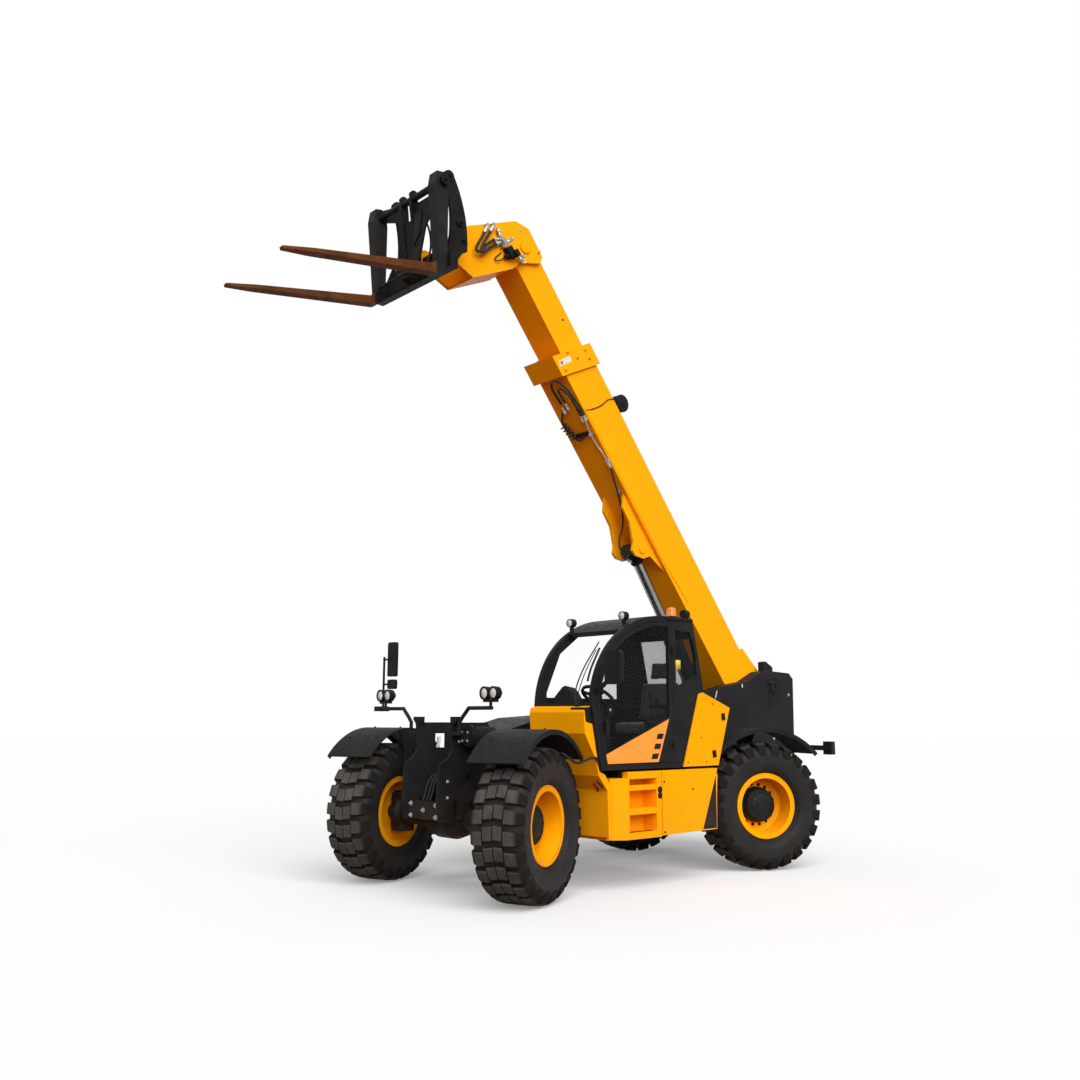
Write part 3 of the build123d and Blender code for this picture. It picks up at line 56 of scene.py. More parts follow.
# directions: the machine's own, and along and square to the boom
AHEAD, BACK, LEFT, RIGHT = Vector((1, 0, 0)), Vector((-1, 0, 0)), Vector((0, 1, 0)), Vector((0, -1, 0))
UP = Vector((0, 0, 1))
ALONG, SQUARE = Vector((BC, 0, BS)), Vector((-BS, 0, BC))
# the carriage's pin, from which its points are counted
TILT = boom(6.6068, -1.2608, 0)


def carriage(x, y, z):
    """A point on the carriage, from its pin."""
    return TILT + Vector((x, y, z))


# corner, axle position, side, heading at rest
CORNERS = [("fl", 1.805, 1, 21), ("fr", 1.805, -1, 18), ("rl", -1.805, 1, -25), ("rr", -1.805, -1, -22)]
WHEEL_Z, KINGPIN_Y, OFFSET = 0.693, 0.88, 0.185


def wheel_matrix(axle_x, hand, heading, lateral):
    """Frame of a wheel: Y points outboard along its axle, Z up, origin lateral outboard of the kingpin."""
    h = radians(heading)
    out = Vector((-sin(h) * hand, cos(h) * hand, 0))
    ahead = Vector((out.y, -out.x, 0))
    origin = at(axle_x, hand * KINGPIN_Y, WHEEL_Z) + out * lateral
    m = Matrix((ahead, out, UP)).transposed().to_4x4()
    m.translation = origin
    return m


def added(name, data):
    """A new object in the scene."""
    obj = bpy.data.objects.new(name, data)
    SCENE.collection.objects.link(obj)
    return obj


def mesh_of(name, bm):
    """The bmesh as a mesh; the bmesh is freed."""
    mesh = bpy.data.meshes.new(name)
    bm.to_mesh(mesh)
    bm.free()
    return mesh


# ---------------- camera
camera = added("camera", bpy.data.cameras.new("camera"))
forward = Vector((-0.66359, -0.72865, 0.16948)).normalized()
right = forward.cross(UP).normalized()
up = right.cross(forward)
roll = radians(0.17)
right, up = right * cos(roll) + up * sin(roll), up * cos(roll) - right * sin(roll)
view = Matrix((right, up, -forward)).transposed().to_4x4()
view.translation = at(8.204, 8.296, 1.637)
camera.matrix_world = view
camera.data.sensor_width = 36
camera.data.lens = 1039.96 / 1080 * 36
camera.data.clip_start, camera.data.clip_end = 0.1, 400
SCENE.camera = camera
SCENE.view_settings.view_transform = "Standard"


# ---------------- materials
def node(nt, kind):
    return nt.nodes.new("ShaderNode" + kind)


def link(output, socket):
    output.id_data.links.new(output, socket)


def put(n, values):
    """Sets a node's inputs from a dictionary."""
    for key, v in values.items():
        n.inputs[key].default_value = v
    return n


def nodes_of(name):
    """A new material, its node tree, its shader, and its coordinates in metres."""
    m = bpy.data.materials.new(name)
    m.use_nodes = True
    nt = m.node_tree
    return m, nt, nt.nodes["Principled BSDF"], node(nt, "TexCoord").outputs["Object"]


def noise(nt, coord, scale, detail=5, rough=0.55):
    n = put(node(nt, "TexNoise"), {"Scale": scale, "Detail": detail, "Roughness": rough})
    link(coord, n.inputs["Vector"])
    return n.outputs["Fac"]


def remap(nt, value, a, b, lo=0.0, hi=1.0):
    n = put(node(nt, "MapRange"), {"From Min": a, "From Max": b, "To Min": lo, "To Max": hi})
    link(value, n.inputs["Value"])
    return n.outputs["Result"]


def times(nt, a, b, op="MULTIPLY"):
    """Product of two values, or what op makes of them, kept between 0 and 1."""
    n = node(nt, "Math")
    n.operation = op
    n.use_clamp = True
    link(a, n.inputs[0])
    if isinstance(b, float):
        n.inputs[1].default_value = b
    else:
        link(b, n.inputs[1])
    return n.outputs[0]


def mix(nt, fac, a, b):
    n = node(nt, "Mix")
    n.data_type = "RGBA"
    link(fac, n.inputs["Factor"])
    for socket, v in ((n.inputs[6], a), (n.inputs[7], b)):
        if isinstance(v, tuple):
            socket.default_value = (*v, 1)
        else:
            link(v, socket)
    return n.outputs[2]


def toned(nt, coords, scale, amount=1.0):
    """Slow change of tone, from 0 to amount."""
    return remap(nt, noise(nt, coords, scale, 6), 0.32, 0.68, 0.0, amount)


def grained(nt, coords, bsdf, grain, bevel=0.0):
    """Fine bumps of grain = (scale, strength), over edges that the shader rounds where bevel is given."""
    bump = put(node(nt, "Bump"), {"Strength": grain[1], "Distance": 0.01})
    link(noise(nt, coords, grain[0], 3), bump.inputs["Height"])
    if bevel:
        edge = node(nt, "Bevel")
        edge.samples = 3
        edge.inputs["Radius"].default_value = bevel
        link(edge.outputs[0], bump.inputs["Normal"])
    link(bump.outputs[0], bsdf.inputs["Normal"])


def surface(name, base, second, rough, mottle=3.0, amount=1.0, rough_by=0.12, grain=(90, 0.05), metal=0.0,
        coat=0.0, dust=None, specks=None, spec=0.22, bevel=0.0):
    """Painted, cast or moulded surface.

    dust = (height where it ends, strength, colour); specks = (scale, threshold, colour).
    """
    m, nt, bsdf, coords = nodes_of(name)
    colour = mix(nt, toned(nt, coords, mottle, amount), base, second)
    if specks:
        scale, threshold, speck = specks
        spots = remap(nt, noise(nt, coords, scale, 3, 0.7), threshold, threshold + 0.06)
        colour = mix(nt, spots, colour, speck)
    if dust:
        top, strength, earth = dust
        split = node(nt, "SeparateXYZ")
        link(coords, split.inputs[0])
        height = remap(nt, split.outputs["Z"], top, 0.1, 0.0, strength)
        cloud = remap(nt, noise(nt, coords, 7, 8, 0.7), 0.38, 0.66)
        colour = mix(nt, times(nt, height, cloud), colour, earth)
    link(colour, bsdf.inputs["Base Color"])
    link(remap(nt, noise(nt, coords, mottle * 6, 4), 0.3, 0.7, rough - rough_by, rough + rough_by),
        bsdf.inputs["Roughness"])
    grained(nt, coords, bsdf, grain, bevel)
    put(bsdf, {"Metallic": metal, "Coat Weight": coat, "Coat Roughness": 0.12, "Specular IOR Level": spec})
    return m


EARTH = (0.17, 0.11, 0.06)
YELLOW = surface("yellow_paint", (0.98, 0.395, 0.001), (0.95, 0.36, 0.001), 0.36, 1.4, 0.8, 0.08, (160, 0.03),
    spec=0.05, dust=(1.0, 0.3, EARTH), specks=(38, 0.72, (0.6, 0.2, 0.01)), bevel=0.006)
BOOM_YELLOW = surface("boom_paint", (0.98, 0.41, 0.002), (0.95, 0.375, 0.002), 0.38, 0.9, 0.8, 0.08,
    (160, 0.03), spec=0.05, specks=(24, 0.74, (0.65, 0.21, 0.01)), bevel=0.006)
RIM = surface("rim_paint", (0.98, 0.41, 0.002), (0.9, 0.33, 0.003), 0.38, 6, 0.9, 0.1, (120, 0.05), spec=0.05,
    specks=(30, 0.68, (0.42, 0.2, 0.04)), bevel=0.004)
FRAME_GREY = surface("frame_paint", (0.018, 0.018, 0.019), (0.01, 0.01, 0.011), 0.5, 2, 1, 0.12, (220, 0.08),
    dust=(1.1, 0.4, EARTH), spec=0.05, bevel=0.005)
BLACK = surface("cab_paint", (0.017, 0.018, 0.018), (0.01, 0.01, 0.011), 0.46, 2.5, 1, 0.1, (260, 0.06),
    spec=0.05, bevel=0.004)
HOOD = surface("hood_black", (0.014, 0.014, 0.015), (0.009, 0.009, 0.009), 0.45, 2.5, 1, 0.1, (240, 0.06),
    spec=0.04, dust=(1.4, 0.2, EARTH), bevel=0.005)
CHASSIS = surface("chassis_black", (0.01, 0.01, 0.01), (0.02, 0.017, 0.014), 0.5, 5, 1, 0.15, (150, 0.15),
    dust=(0.9, 0.45, EARTH), spec=0.05, bevel=0.004)
FENDER = surface("fender_plastic", (0.015, 0.015, 0.016), (0.009, 0.009, 0.01), 0.58, 3, 1, 0.1, (420, 0.2),
    dust=(1.6, 0.12, (0.16, 0.13, 0.1)), spec=0.07)
HOSE = surface("hose_rubber", (0.01, 0.01, 0.01), (0.018, 0.017, 0.016), 0.5, 30, 1, 0.1, (500, 0.3), spec=0.2)
STEEL = surface("plated_steel", (0.46, 0.44, 0.41), (0.26, 0.25, 0.23), 0.34, 40, 1, 0.12, (300, 0.1),
    metal=0.85)
HEAD = surface("carriage_grey", (0.013, 0.014, 0.013), (0.007, 0.007, 0.007), 0.5, 4, 1, 0.14, (120, 0.15),
    specks=(11, 0.68, (0.045, 0.03, 0.02)), spec=0.06, bevel=0.004)
HUB = surface("hub_paint", (0.014, 0.018, 0.015), (0.009, 0.01, 0.009), 0.5, 8, 1, 0.14, (110, 0.15),
    specks=(9, 0.66, (0.045, 0.03, 0.02)), spec=0.08)
PLASTIC = surface("interior_plastic", (0.02, 0.02, 0.021), (0.013, 0.013, 0.014), 0.6, 6, 1, 0.08, (240, 0.15),
    spec=0.1)
ENGINE = surface("engine_casting", (0.1, 0.1, 0.1), (0.05, 0.048, 0.045), 0.6, 5, 1, 0.1, (60, 0.4), metal=0.3)
WHITE = surface("white_plate", (0.72, 0.72, 0.7), (0.6, 0.59, 0.56), 0.45, 9, 1, 0.1, (200, 0.03))
LABEL = surface("yellow_label", (0.75, 0.55, 0.06), (0.62, 0.43, 0.05), 0.4, 12, 1, 0.08, (200, 0.02))
PALE = surface("pale_orange", (0.93, 0.33, 0.045), (0.88, 0.3, 0.04), 0.4, 4, 1, 0.08, (160, 0.02))
RED = surface("red_lens", (0.42, 0.012, 0.008), (0.3, 0.008, 0.006), 0.18, 20, 1, 0.05, (120, 0.1), coat=0.6)
AMBER = surface("amber_lens", (0.8, 0.2, 0.01), (0.62, 0.14, 0.008), 0.18, 20, 1, 0.05, (120, 0.1), coat=0.6)
SILVER = surface("mirror_silver", (0.62, 0.63, 0.65), (0.55, 0.56, 0.58), 0.05, 2, 1, 0.02, (10, 0.0),
    metal=1.0)
LENS = surface("lamp_lens", (0.82, 0.83, 0.82), (0.5, 0.5, 0.49), 0.14, 60, 1, 0.06, (140, 0.2), metal=0.3,
    coat=1)


def masked(name, first, second, vector, spans, metal=(0.0, 0.0), spec=0.2, grain=(90, 0.2), mottle=5):
    """Two finishes in one material: second where the point lies past each span's limits."""
    m, nt, bsdf, coords = nodes_of(name)
    mask = None
    for direction, a, b in spans:
        dot = node(nt, "VectorMath")
        dot.operation = vector
        link(coords, dot.inputs[0])
        dot.inputs[1].default_value = direction
        if vector == "DOT_PRODUCT":
            value = dot.outputs["Value"]
        else:
            length = node(nt, "VectorMath")
            length.operation = "LENGTH"
            link(dot.outputs["Vector"], length.inputs[0])
            value = length.outputs["Value"]
        step = remap(nt, value, a, b)
        mask = times(nt, mask, step) if mask else step
    tone = toned(nt, coords, mottle)
    link(mix(nt, mask, mix(nt, tone, *first[:2]), mix(nt, tone, *second[:2])), bsdf.inputs["Base Color"])
    rough = remap(nt, noise(nt, coords, mottle * 5, 4), 0.3, 0.7, -0.08, 0.08)
    level = remap(nt, mask, 0.0, 1.0, first[2], second[2])
    both = node(nt, "Math")
    link(rough, both.inputs[0])
    link(level, both.inputs[1])
    link(both.outputs[0], bsdf.inputs["Roughness"])
    if metal != (0.0, 0.0):
        link(remap(nt, mask, 0.0, 1.0, *metal), bsdf.inputs["Metallic"])
    grained(nt, coords, bsdf, grain)
    bsdf.inputs["Specular IOR Level"].default_value = spec
    return m


# tines rusted, shanks painted; rod polished, its eye painted; tread blocks with painted light on their outer
# faces and painted shade down in their grooves
FORK = masked("fork_steel", ((0.02, 0.021, 0.02), (0.01, 0.01, 0.01), 0.5),
    ((0.15, 0.052, 0.015), (0.06, 0.02, 0.007), 0.65), "DOT_PRODUCT",
    [((0, 0, -1), -TILT.z + 0.375, -TILT.z + 0.4), ((1, 0, 0), TILT.x + 0.42, TILT.x + 0.44)], spec=0.06)
LIFT_BASE, LIFT_EYE = at(-2.6, 0, 1.05), boom(2.576, -0.712, 0)
LIFT = (LIFT_EYE - LIFT_BASE).normalized()
CHROME = masked("chrome_rod", ((0.3, 0.3, 0.31), (0.22, 0.22, 0.23), 0.2),
    ((0.012, 0.012, 0.012), (0.02, 0.018, 0.016), 0.5), "DOT_PRODUCT",
    [(LIFT, LIFT_BASE.dot(LIFT) + 2.93, LIFT_BASE.dot(LIFT) + 2.94)], (1.0, 0.0), grain=(400, 0.02))
# tread: dark as painted shade on the blocks below their outermost rubber, lighter as painted light on their
# outer faces
RUBBER = masked("tyre_rubber", ((0.009, 0.008, 0.007), (0.016, 0.013, 0.01), 0.85),
    ((0.078, 0.076, 0.067), (0.046, 0.044, 0.039), 0.72), "MULTIPLY", [((1, 0, 1), 0.662, 0.684)], spec=0.09,
    grain=(75, 0.25))
WALL = surface("tyre_sidewall", (0.022, 0.022, 0.022), (0.013, 0.013, 0.013), 0.48, 3.5, 1, 0.12, (60, 0.12),
    specks=(6, 0.7, (0.034, 0.029, 0.023)), spec=0.09)


def glass(name, tint, alpha):
    m, nt, bsdf, coords = nodes_of(name)
    smear = remap(nt, noise(nt, coords, 4, 6, 0.7), 0.4, 0.75, alpha, alpha * 1.2 + 0.015)
    link(smear, bsdf.inputs["Alpha"])
    link(mix(nt, remap(nt, noise(nt, coords, 2, 3), 0.3, 0.7), tint, tuple(0.7 * c for c in tint)),
        bsdf.inputs["Base Color"])
    link(remap(nt, noise(nt, coords, 9, 5), 0.3, 0.7, 0.02, 0.07), bsdf.inputs["Roughness"])
    bsdf.inputs["Specular IOR Level"].default_value = 0.12
    return m


CLEAR = glass("clear_glass", (0.1, 0.13, 0.12), 0.0)
TINT = glass("tinted_glass", (0.008, 0.013, 0.011), 0.22)

# beacon: amber, part see-through, lit a little from inside
BEACON, nt, bsdf, coords = nodes_of("beacon_orange")
link(mix(nt, remap(nt, noise(nt, coords, 40), 0.3, 0.7), (1.0, 0.34, 0.03), (0.9, 0.22, 0.015)),
    bsdf.inputs["Base Color"])
link(remap(nt, noise(nt, coords, 60), 0.3, 0.7, 0.1, 0.22), bsdf.inputs["Roughness"])
put(bsdf, {"Transmission Weight": 0.45, "Emission Color": (1.0, 0.26, 0.02, 1), "Emission Strength": 0.06})


def cloth_material():
    """Woven seat cloth: two crossed wave textures for the weave, with sheen."""
    m, nt, bsdf, coords = nodes_of("seat_cloth")
    tone = remap(nt, noise(nt, coords, 14, 5), 0.3, 0.7)
    link(mix(nt, tone, (0.05, 0.05, 0.053), (0.028, 0.028, 0.03)), bsdf.inputs["Base Color"])
    threads = []
    for axis in ("Y", "Z"):
        w = put(node(nt, "TexWave"), {"Scale": 160, "Distortion": 0.6})
        w.bands_direction = axis
        link(coords, w.inputs["Vector"])
        threads.append(w.outputs["Fac"])
    bump = put(node(nt, "Bump"), {"Strength": 0.35, "Distance": 0.002})
    link(times(nt, threads[0], threads[1]), bump.inputs["Height"])
    link(bump.outputs[0], bsdf.inputs["Normal"])
    link(remap(nt, tone, 0.0, 1.0, 0.75, 0.92), bsdf.inputs["Roughness"])
    bsdf.inputs["Sheen Weight"].default_value = 0.35
    return m


CLOTH = cloth_material()

FINISH = {YELLOW: ["front_cowl", "step_box", "side_panel_lower", "side_panel_upper"], HOOD: ["engine_hood"],
    BOOM_YELLOW: ["boom_outer", "boom_inner"], FRAME_GREY: ["main_frame", "filter_canister"],
    BLACK: ["cab_shell", "door_frame", "mirror_left", "mirror_right", "front_lamp_left", "front_lamp_right",
    "roof_lamps", "rear_lamps", "cable_reel"], CHASSIS: ["front_axle", "rear_axle", "engine_bay",
    "lift_barrel"] + [f"knuckle_{c[0]}" for c in CORNERS], RIM: [f"rim_{c[0]}" for c in CORNERS],
    FENDER: [f"fender_{c[0]}" for c in CORNERS], PLASTIC: ["console"], ENGINE: ["engine_block"],
    CHROME: ["lift_rod"], HEAD: ["fork_carriage"], FORK: ["fork_left", "fork_right"],
    CLEAR: ["windscreen", "right_glass"], TINT: ["door_glass", "quarter_glass", "back_glass"]}
for material, names in FINISH.items():
    for name in names:
        NODES[name].data.materials.clear()
        NODES[name].data.materials.append(material)


# ---------------- mesh helpers
def piece(name, bm, materials, bevel=0.0, body="chassis", smooth=True):
    """Makes a piece from a bmesh, with its materials in the order given."""
    bmesh.ops.recalc_face_normals(bm, faces=bm.faces)
    mesh = mesh_of(name, bm)
    for m in materials if isinstance(materials, list) else [materials]:
        mesh.materials.append(m)
    return place(name, mesh, body, bevel, smooth)


def place(name, mesh, body, bevel=0.0, smooth=True, matrix=None):
    """Puts a mesh in the scene, rounds its edges, and lets it ride on a body."""
    obj = added(name, mesh)
    if matrix:
        obj.matrix_world = matrix
    for p in mesh.polygons:
        p.use_smooth = smooth
    if bevel:
        mod = obj.modifiers.new("bevel", "BEVEL")
        mod.width, mod.segments, mod.limit_method, mod.angle_limit = bevel, 2, "ANGLE", radians(32)
        mod.harden_normals = True
    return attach(obj, body)


def frame_at(origin, normal):
    """Matrix whose Z is the normal, at the origin."""
    n = Vector(normal).normalized()
    x = (AHEAD if abs(n.z) > 0.95 else UP).cross(n).normalized()
    m = Matrix((x, n.cross(x), n)).transposed().to_4x4()
    m.translation = origin
    return m


def facing(x, y, z, normal):
    """frame_at, at a point of the machine."""
    return frame_at(at(x, y, z), normal)


def circle(r, n, start=0.0):
    """n points (a, b) round a circle, the first at the angle start."""
    return [(r * cos(start + 2 * pi * k / n), r * sin(start + 2 * pi * k / n)) for k in range(n)]


def revolve(bm, profile, matrix, n=40, slot=0, spin=0.0):
    """Turns (radius, height) points round the matrix's Z axis."""
    angles = [spin + 2 * pi * i / n for i in range(n)]
    rings = []
    for r, z in profile:
        if r < 1e-6:
            rings.append([bm.verts.new(matrix @ Vector((0, 0, z)))])
        else:
            rings.append([bm.verts.new(matrix @ Vector((r * cos(a), r * sin(a), z))) for a in angles])
    for a, b in zip(rings, rings[1:]):
        for i in range(n):
            j = (i + 1) % n
            quad = [a[i % len(a)], a[j % len(a)], b[j % len(b)], b[i % len(b)]]
            corners = list(dict.fromkeys(quad))
            if len(corners) > 2:
                bm.faces.new(corners).material_index = slot
    return rings


def prism(bm, outline, low, high, slot=0):
    """A prism from outline points: low and high map an (a, b) point to its place on either face."""
    bottom = [bm.verts.new(low(a, b)) for a, b in outline]
    top = [bm.verts.new(high(a, b)) for a, b in outline]
    faces = [bm.faces.new(bottom[::-1]), bm.faces.new(top)]
    for i in range(len(outline)):
        j = (i + 1) % len(outline)
        faces.append(bm.faces.new((bottom[i], bottom[j], top[j], top[i])))
    for f in faces:
        f.material_index = slot


def on_side(x, z, y):
    """Where an outline in x and z goes, y deep."""
    return at(x, y, z)


def on_front(y, z, x):
    """The same for one in y and z from the carriage's pin, x deep."""
    return carriage(x, y, z)


def plate(bm, where, outline, near, far):
    """A prism between two depths: where maps an outline's point and a depth to a place."""
    prism(bm, outline, lambda a, b: where(a, b, near), lambda a, b: where(a, b, far))


def rounded(w, h, r, n=4):
    """Outline of a rectangle with round corners, about the origin."""
    out = []
    for cx, cy, start in ((w / 2 - r, h / 2 - r, 0), (r - w / 2, h / 2 - r, 90), (r - w / 2, r - h / 2, 180),
            (w / 2 - r, r - h / 2, 270)):
        for i in range(n + 1):
            a = radians(start + 90 * i / n)
            out.append((cx + r * cos(a), cy + r * sin(a)))
    return out


def pad_at(bm, matrix, w, h, t, r=0.006, slot=0):
    """A plate w by h and t thick, standing on the matrix's XY plane."""
    outline = rounded(w, h, min(r, w / 2.01, h / 2.01))
    prism(bm, outline, lambda a, b: matrix @ Vector((a, b, 0)), lambda a, b: matrix @ Vector((a, b, t)), slot)


def bolt(bm, point, normal, r, slot=0, nut=True):
    """Hexagon head on a washer, sunk a little into what carries it."""
    m = frame_at(point, normal)
    revolve(bm, [(0, -0.002), (1.45 * r, -0.002), (1.45 * r, 0.18 * r), (1.3 * r, 0.26 * r), (0, 0.26 * r)], m,
        18, slot)
    spin = (point.x * 7 + point.z * 3) % 1
    revolve(bm, [(1.05 * r, 0.2 * r), (1.05 * r, 0.85 * r), (0.85 * r, 1.0 * r), (0, 1.0 * r)], m, 6, slot,
        spin)
    if nut:
        revolve(bm, [(0.5 * r, 0.9 * r), (0.5 * r, 1.35 * r), (0.4 * r, 1.45 * r), (0, 1.45 * r)], m, 12, slot)


def bolts(name, body, spots, material=STEEL):
    """Joined bolts: spots are (point, normal, radius)."""
    bm = bmesh.new()
    for point, normal, r in spots:
        bolt(bm, point, normal, r)
    return piece(name, bm, material, body=body, smooth=False)


def hose(name, where, route, r, body="chassis", material=HOSE):
    """A held hose or pipe along a smooth line through its guides, which where maps to points."""
    curve = bpy.data.curves.new(name, "CURVE")
    curve.dimensions = "3D"
    spline = curve.splines.new("NURBS")
    spline.points.add(len(route) - 1)
    for p, guide in zip(spline.points, route):
        p.co = (*where(*guide), 1)
    spline.order_u = 3
    spline.use_endpoint_u = True
    spline.resolution_u = 8
    curve.bevel_depth = r
    curve.bevel_resolution = 4
    curve.use_fill_caps = True
    curve.materials.append(material)
    obj = added(name, curve)
    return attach(obj, body)


def fitting(bm, point, direction, r, length, slot=0):
    """Crimped hose end: sleeve, hexagon nut and collar along direction."""
    m = frame_at(point, direction)
    revolve(bm, [(0, 0), (1.25 * r, 0), (1.35 * r, 0.08 * length), (1.35 * r, 0.45 * length),
        (1.15 * r, 0.5 * length), (0, 0.5 * length)], m, 20, slot)
    revolve(bm, [(0, 0.5 * length), (1.6 * r, 0.5 * length), (1.7 * r, 0.55 * length), (1.7 * r, 0.8 * length),
        (1.6 * r, 0.85 * length), (0, 0.85 * length)], m, 6, slot)
    revolve(bm, [(0, 0.85 * length), (1.1 * r, 0.85 * length), (1.1 * r, length), (0, length)], m, 16, slot)


# ---------------- tyres
PITCHES = 24
WALL_LINE = [(0.176, 0.323), (0.178, 0.36), (0.188, 0.368), (0.203, 0.376), (0.211, 0.389), (0.222, 0.394),
    (0.234, 0.412), (0.2345, 0.418), (0.239, 0.424), (0.245, 0.455), (0.2485, 0.5), (0.2495, 0.545),
    (0.249, 0.556), (0.2465, 0.56), (0.246, 0.566), (0.24, 0.585), (0.226, 0.606), (0.206, 0.628),
    (0.178, 0.643), (0.14, 0.65), (0.1, 0.652), (0.05, 0.652)]
# inner and outer edge of each block across the tread, from the middle
BLOCKS = [(0.006, 0.092), (0.104, 0.25)]
BLOCK_TOP = [(0.0, 0.692), (0.1, 0.6915), (0.15, 0.689), (0.19, 0.683), (0.215, 0.668), (0.232, 0.645),
    (0.244, 0.618), (0.2498, 0.588)]


def line_at(table, x):
    """Value at x on the line through the table's points."""
    for (a, ya), (b, yb) in zip(table, table[1:]):
        if x <= b:
            return ya + (yb - ya) * (x - a) / (b - a)
    return table[-1][1]


def tyre_mesh():
    bm = bmesh.new()
    axle = Matrix.Rotation(radians(-90), 4, "X")
    half = [(r, y) for y, r in WALL_LINE]
    revolve(bm, half + [(r, -y) for r, y in reversed(half)], axle, 120, 1)
    pitch = 2 * pi / PITCHES
    for k in range(PITCHES):
        for hand in (1, -1):
            for n, (inner, outer) in enumerate(BLOCKS):
                shift = 0.5 if hand < 0 else 0.0
                steps = [inner + (outer - inner) * i / (4 if n == 0 else 9) for i in range(5 if n == 0 else 10)]
                rows = []
                for y in steps:
                    sweep = (0.05, 0.3)[n] + 0.05 * (y - inner) / (outer - inner)
                    centre = (k + sweep + 0.1 * shift) * pitch
                    wide = 0.325 - 0.035 * min(1.0, max(0.0, (y - 0.19) / 0.06))
                    top = line_at(BLOCK_TOP, y)
                    base = min(top - 0.006, line_at(WALL_LINE[:13:-1], y) - 0.014)
                    ring = []
                    for r, span in ((base, wide + 0.025), (top, wide)):
                        for side in (-1, 1):
                            a = centre + side * span * pitch
                            ring.append(bm.verts.new((r * sin(a), hand * y, r * cos(a))))
                    rows.append(ring)
                order = (0, 2, 3, 1)
                for a, b in zip(rows, rows[1:]):
                    for i in range(4):
                        j = (i + 1) % 4
                        bm.faces.new((a[order[i]], a[order[j]], b[order[j]], b[order[i]]))
                for ring in (rows[0], rows[-1]):
                    bm.faces.new([ring[i] for i in order])
    bmesh.ops.recalc_face_normals(bm, faces=bm.faces)
    mesh = mesh_of("tyre", bm)
    mesh.materials.append(RUBBER)
    mesh.materials.append(WALL)
    return mesh


TYRE = tyre_mesh()
# hub cover over the planetary drive: (radius, distance outboard of the wheel's middle plane)
HUB_LINE = [(0.197, -0.056), (0.1945, 0.0), (0.179, 0.056), (0.176, 0.062), (0.166, 0.0735), (0.158, 0.0765),
    (0.12, 0.0765), (0.112, 0.0815), (0.06, 0.083), (0.052, 0.0885), (0, 0.0895)]
COVER_BOLTS_R, WHEEL_NUTS_R, FENDER_TOP_R = 0.142, 0.222, 0.8505
for corner, axle_x, hand, heading in CORNERS:
    wheel = wheel_matrix(axle_x, hand, heading, OFFSET)
    body = f"wheel_{corner}"
    tyre = place(f"tyre_tread_{corner}", TYRE.copy(), body, 0.008, matrix=wheel)
    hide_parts(f"tyre_{corner}")
    bm = bmesh.new()
    axle = wheel @ Matrix.Rotation(radians(-90), 4, "X")
    out = wheel.to_3x3() @ LEFT
    revolve(bm, HUB_LINE, axle, 64)
    for x, z in circle(COVER_BOLTS_R, 12):
        bolt(bm, wheel @ Vector((x, 0.0765, z)), out, 0.0085, nut=False)
    drain = wheel @ Vector((0.09, 0.082, -0.02))
    bolt(bm, drain, out, 0.013, nut=False)
    piece(f"hub_cover_{corner}", bm, HUB, 0.002, body)
    bm = bmesh.new()
    for x, z in circle(WHEEL_NUTS_R, 16, pi / 16):
        bolt(bm, wheel @ Vector((x, -0.054, z)), out, 0.013)
    # lock ring in the rim's outer flange, and the valve
    revolve(bm, [(0.3425, 0.188), (0.3445, 0.1925), (0.3485, 0.1925), (0.3505, 0.188)], axle, 72, 1)
    valve = wheel @ Vector((0.285, 0.08, 0.06))
    fitting(bm, valve, wheel.to_3x3() @ Vector((-0.35, 0.9, 0)), 0.006, 0.07)
    piece(f"wheel_nuts_{corner}", bm, [HUB, RIM], 0.0015, body)
    # pairs of bolts across the fender
    kingpin = wheel_matrix(axle_x, hand, heading, 0)
    spots = []
    for angle in (62, 90, 118):
        out = Vector((cos(radians(angle)), 0, sin(radians(angle))))
        for lateral in (0.015, 0.35):
            spots.append((kingpin @ (out * FENDER_TOP_R + LEFT * lateral), kingpin.to_3x3() @ out, 0.0085))
    bolts(f"fender_bolts_{corner}", f"knuckle_{corner}", spots, CHASSIS)


# ---------------- boom trim
spots = []
for hand, normal in ((1, LEFT), (-1, RIGHT)):
    for u, w in ((5.01, -0.408), (4.91, -0.124), (4.801, -0.124), (4.891, -0.3), (4.955, -0.56), (4.86, -0.56)):
        spots.append((boom(u, w, hand * 0.24), normal, 0.016))
bolts("collar_pad_bolts", "boom", spots, BOOM_YELLOW)
CHEEK = 0.222
spots = [(boom(6.103, -0.058 - 0.02, h * CHEEK), LEFT * h, 0.014) for h in (1, -1)]
spots += [(boom(6.03 + 0.07 * k, -0.475 - 0.03 * k, h * CHEEK), LEFT * h, 0.009)
    for h in (1, -1) for k in (1, 3)]
bolts("head_bolts", "boom_extension", spots, BOOM_YELLOW)
# flush plugs in the inner boom, so that they pass the collar
bm = bmesh.new()
for hand in (1, -1):
    revolve(bm, [(0, 0.0012), (0.014, 0.0012), (0.016, -0.001)],
        frame_at(boom(5.323, -0.166, hand * 0.18), LEFT * hand), 20)
piece("inner_plugs", bm, CHASSIS, body="boom_extension")

# blank plate on the collar
bm = bmesh.new()
plate(bm, boom, [(4.988, -0.592), (4.958, -0.395), (4.893, -0.412), (4.922, -0.615)], 0.2395, 0.242)
piece("collar_plate", bm, WHITE, 0.001, "boom")

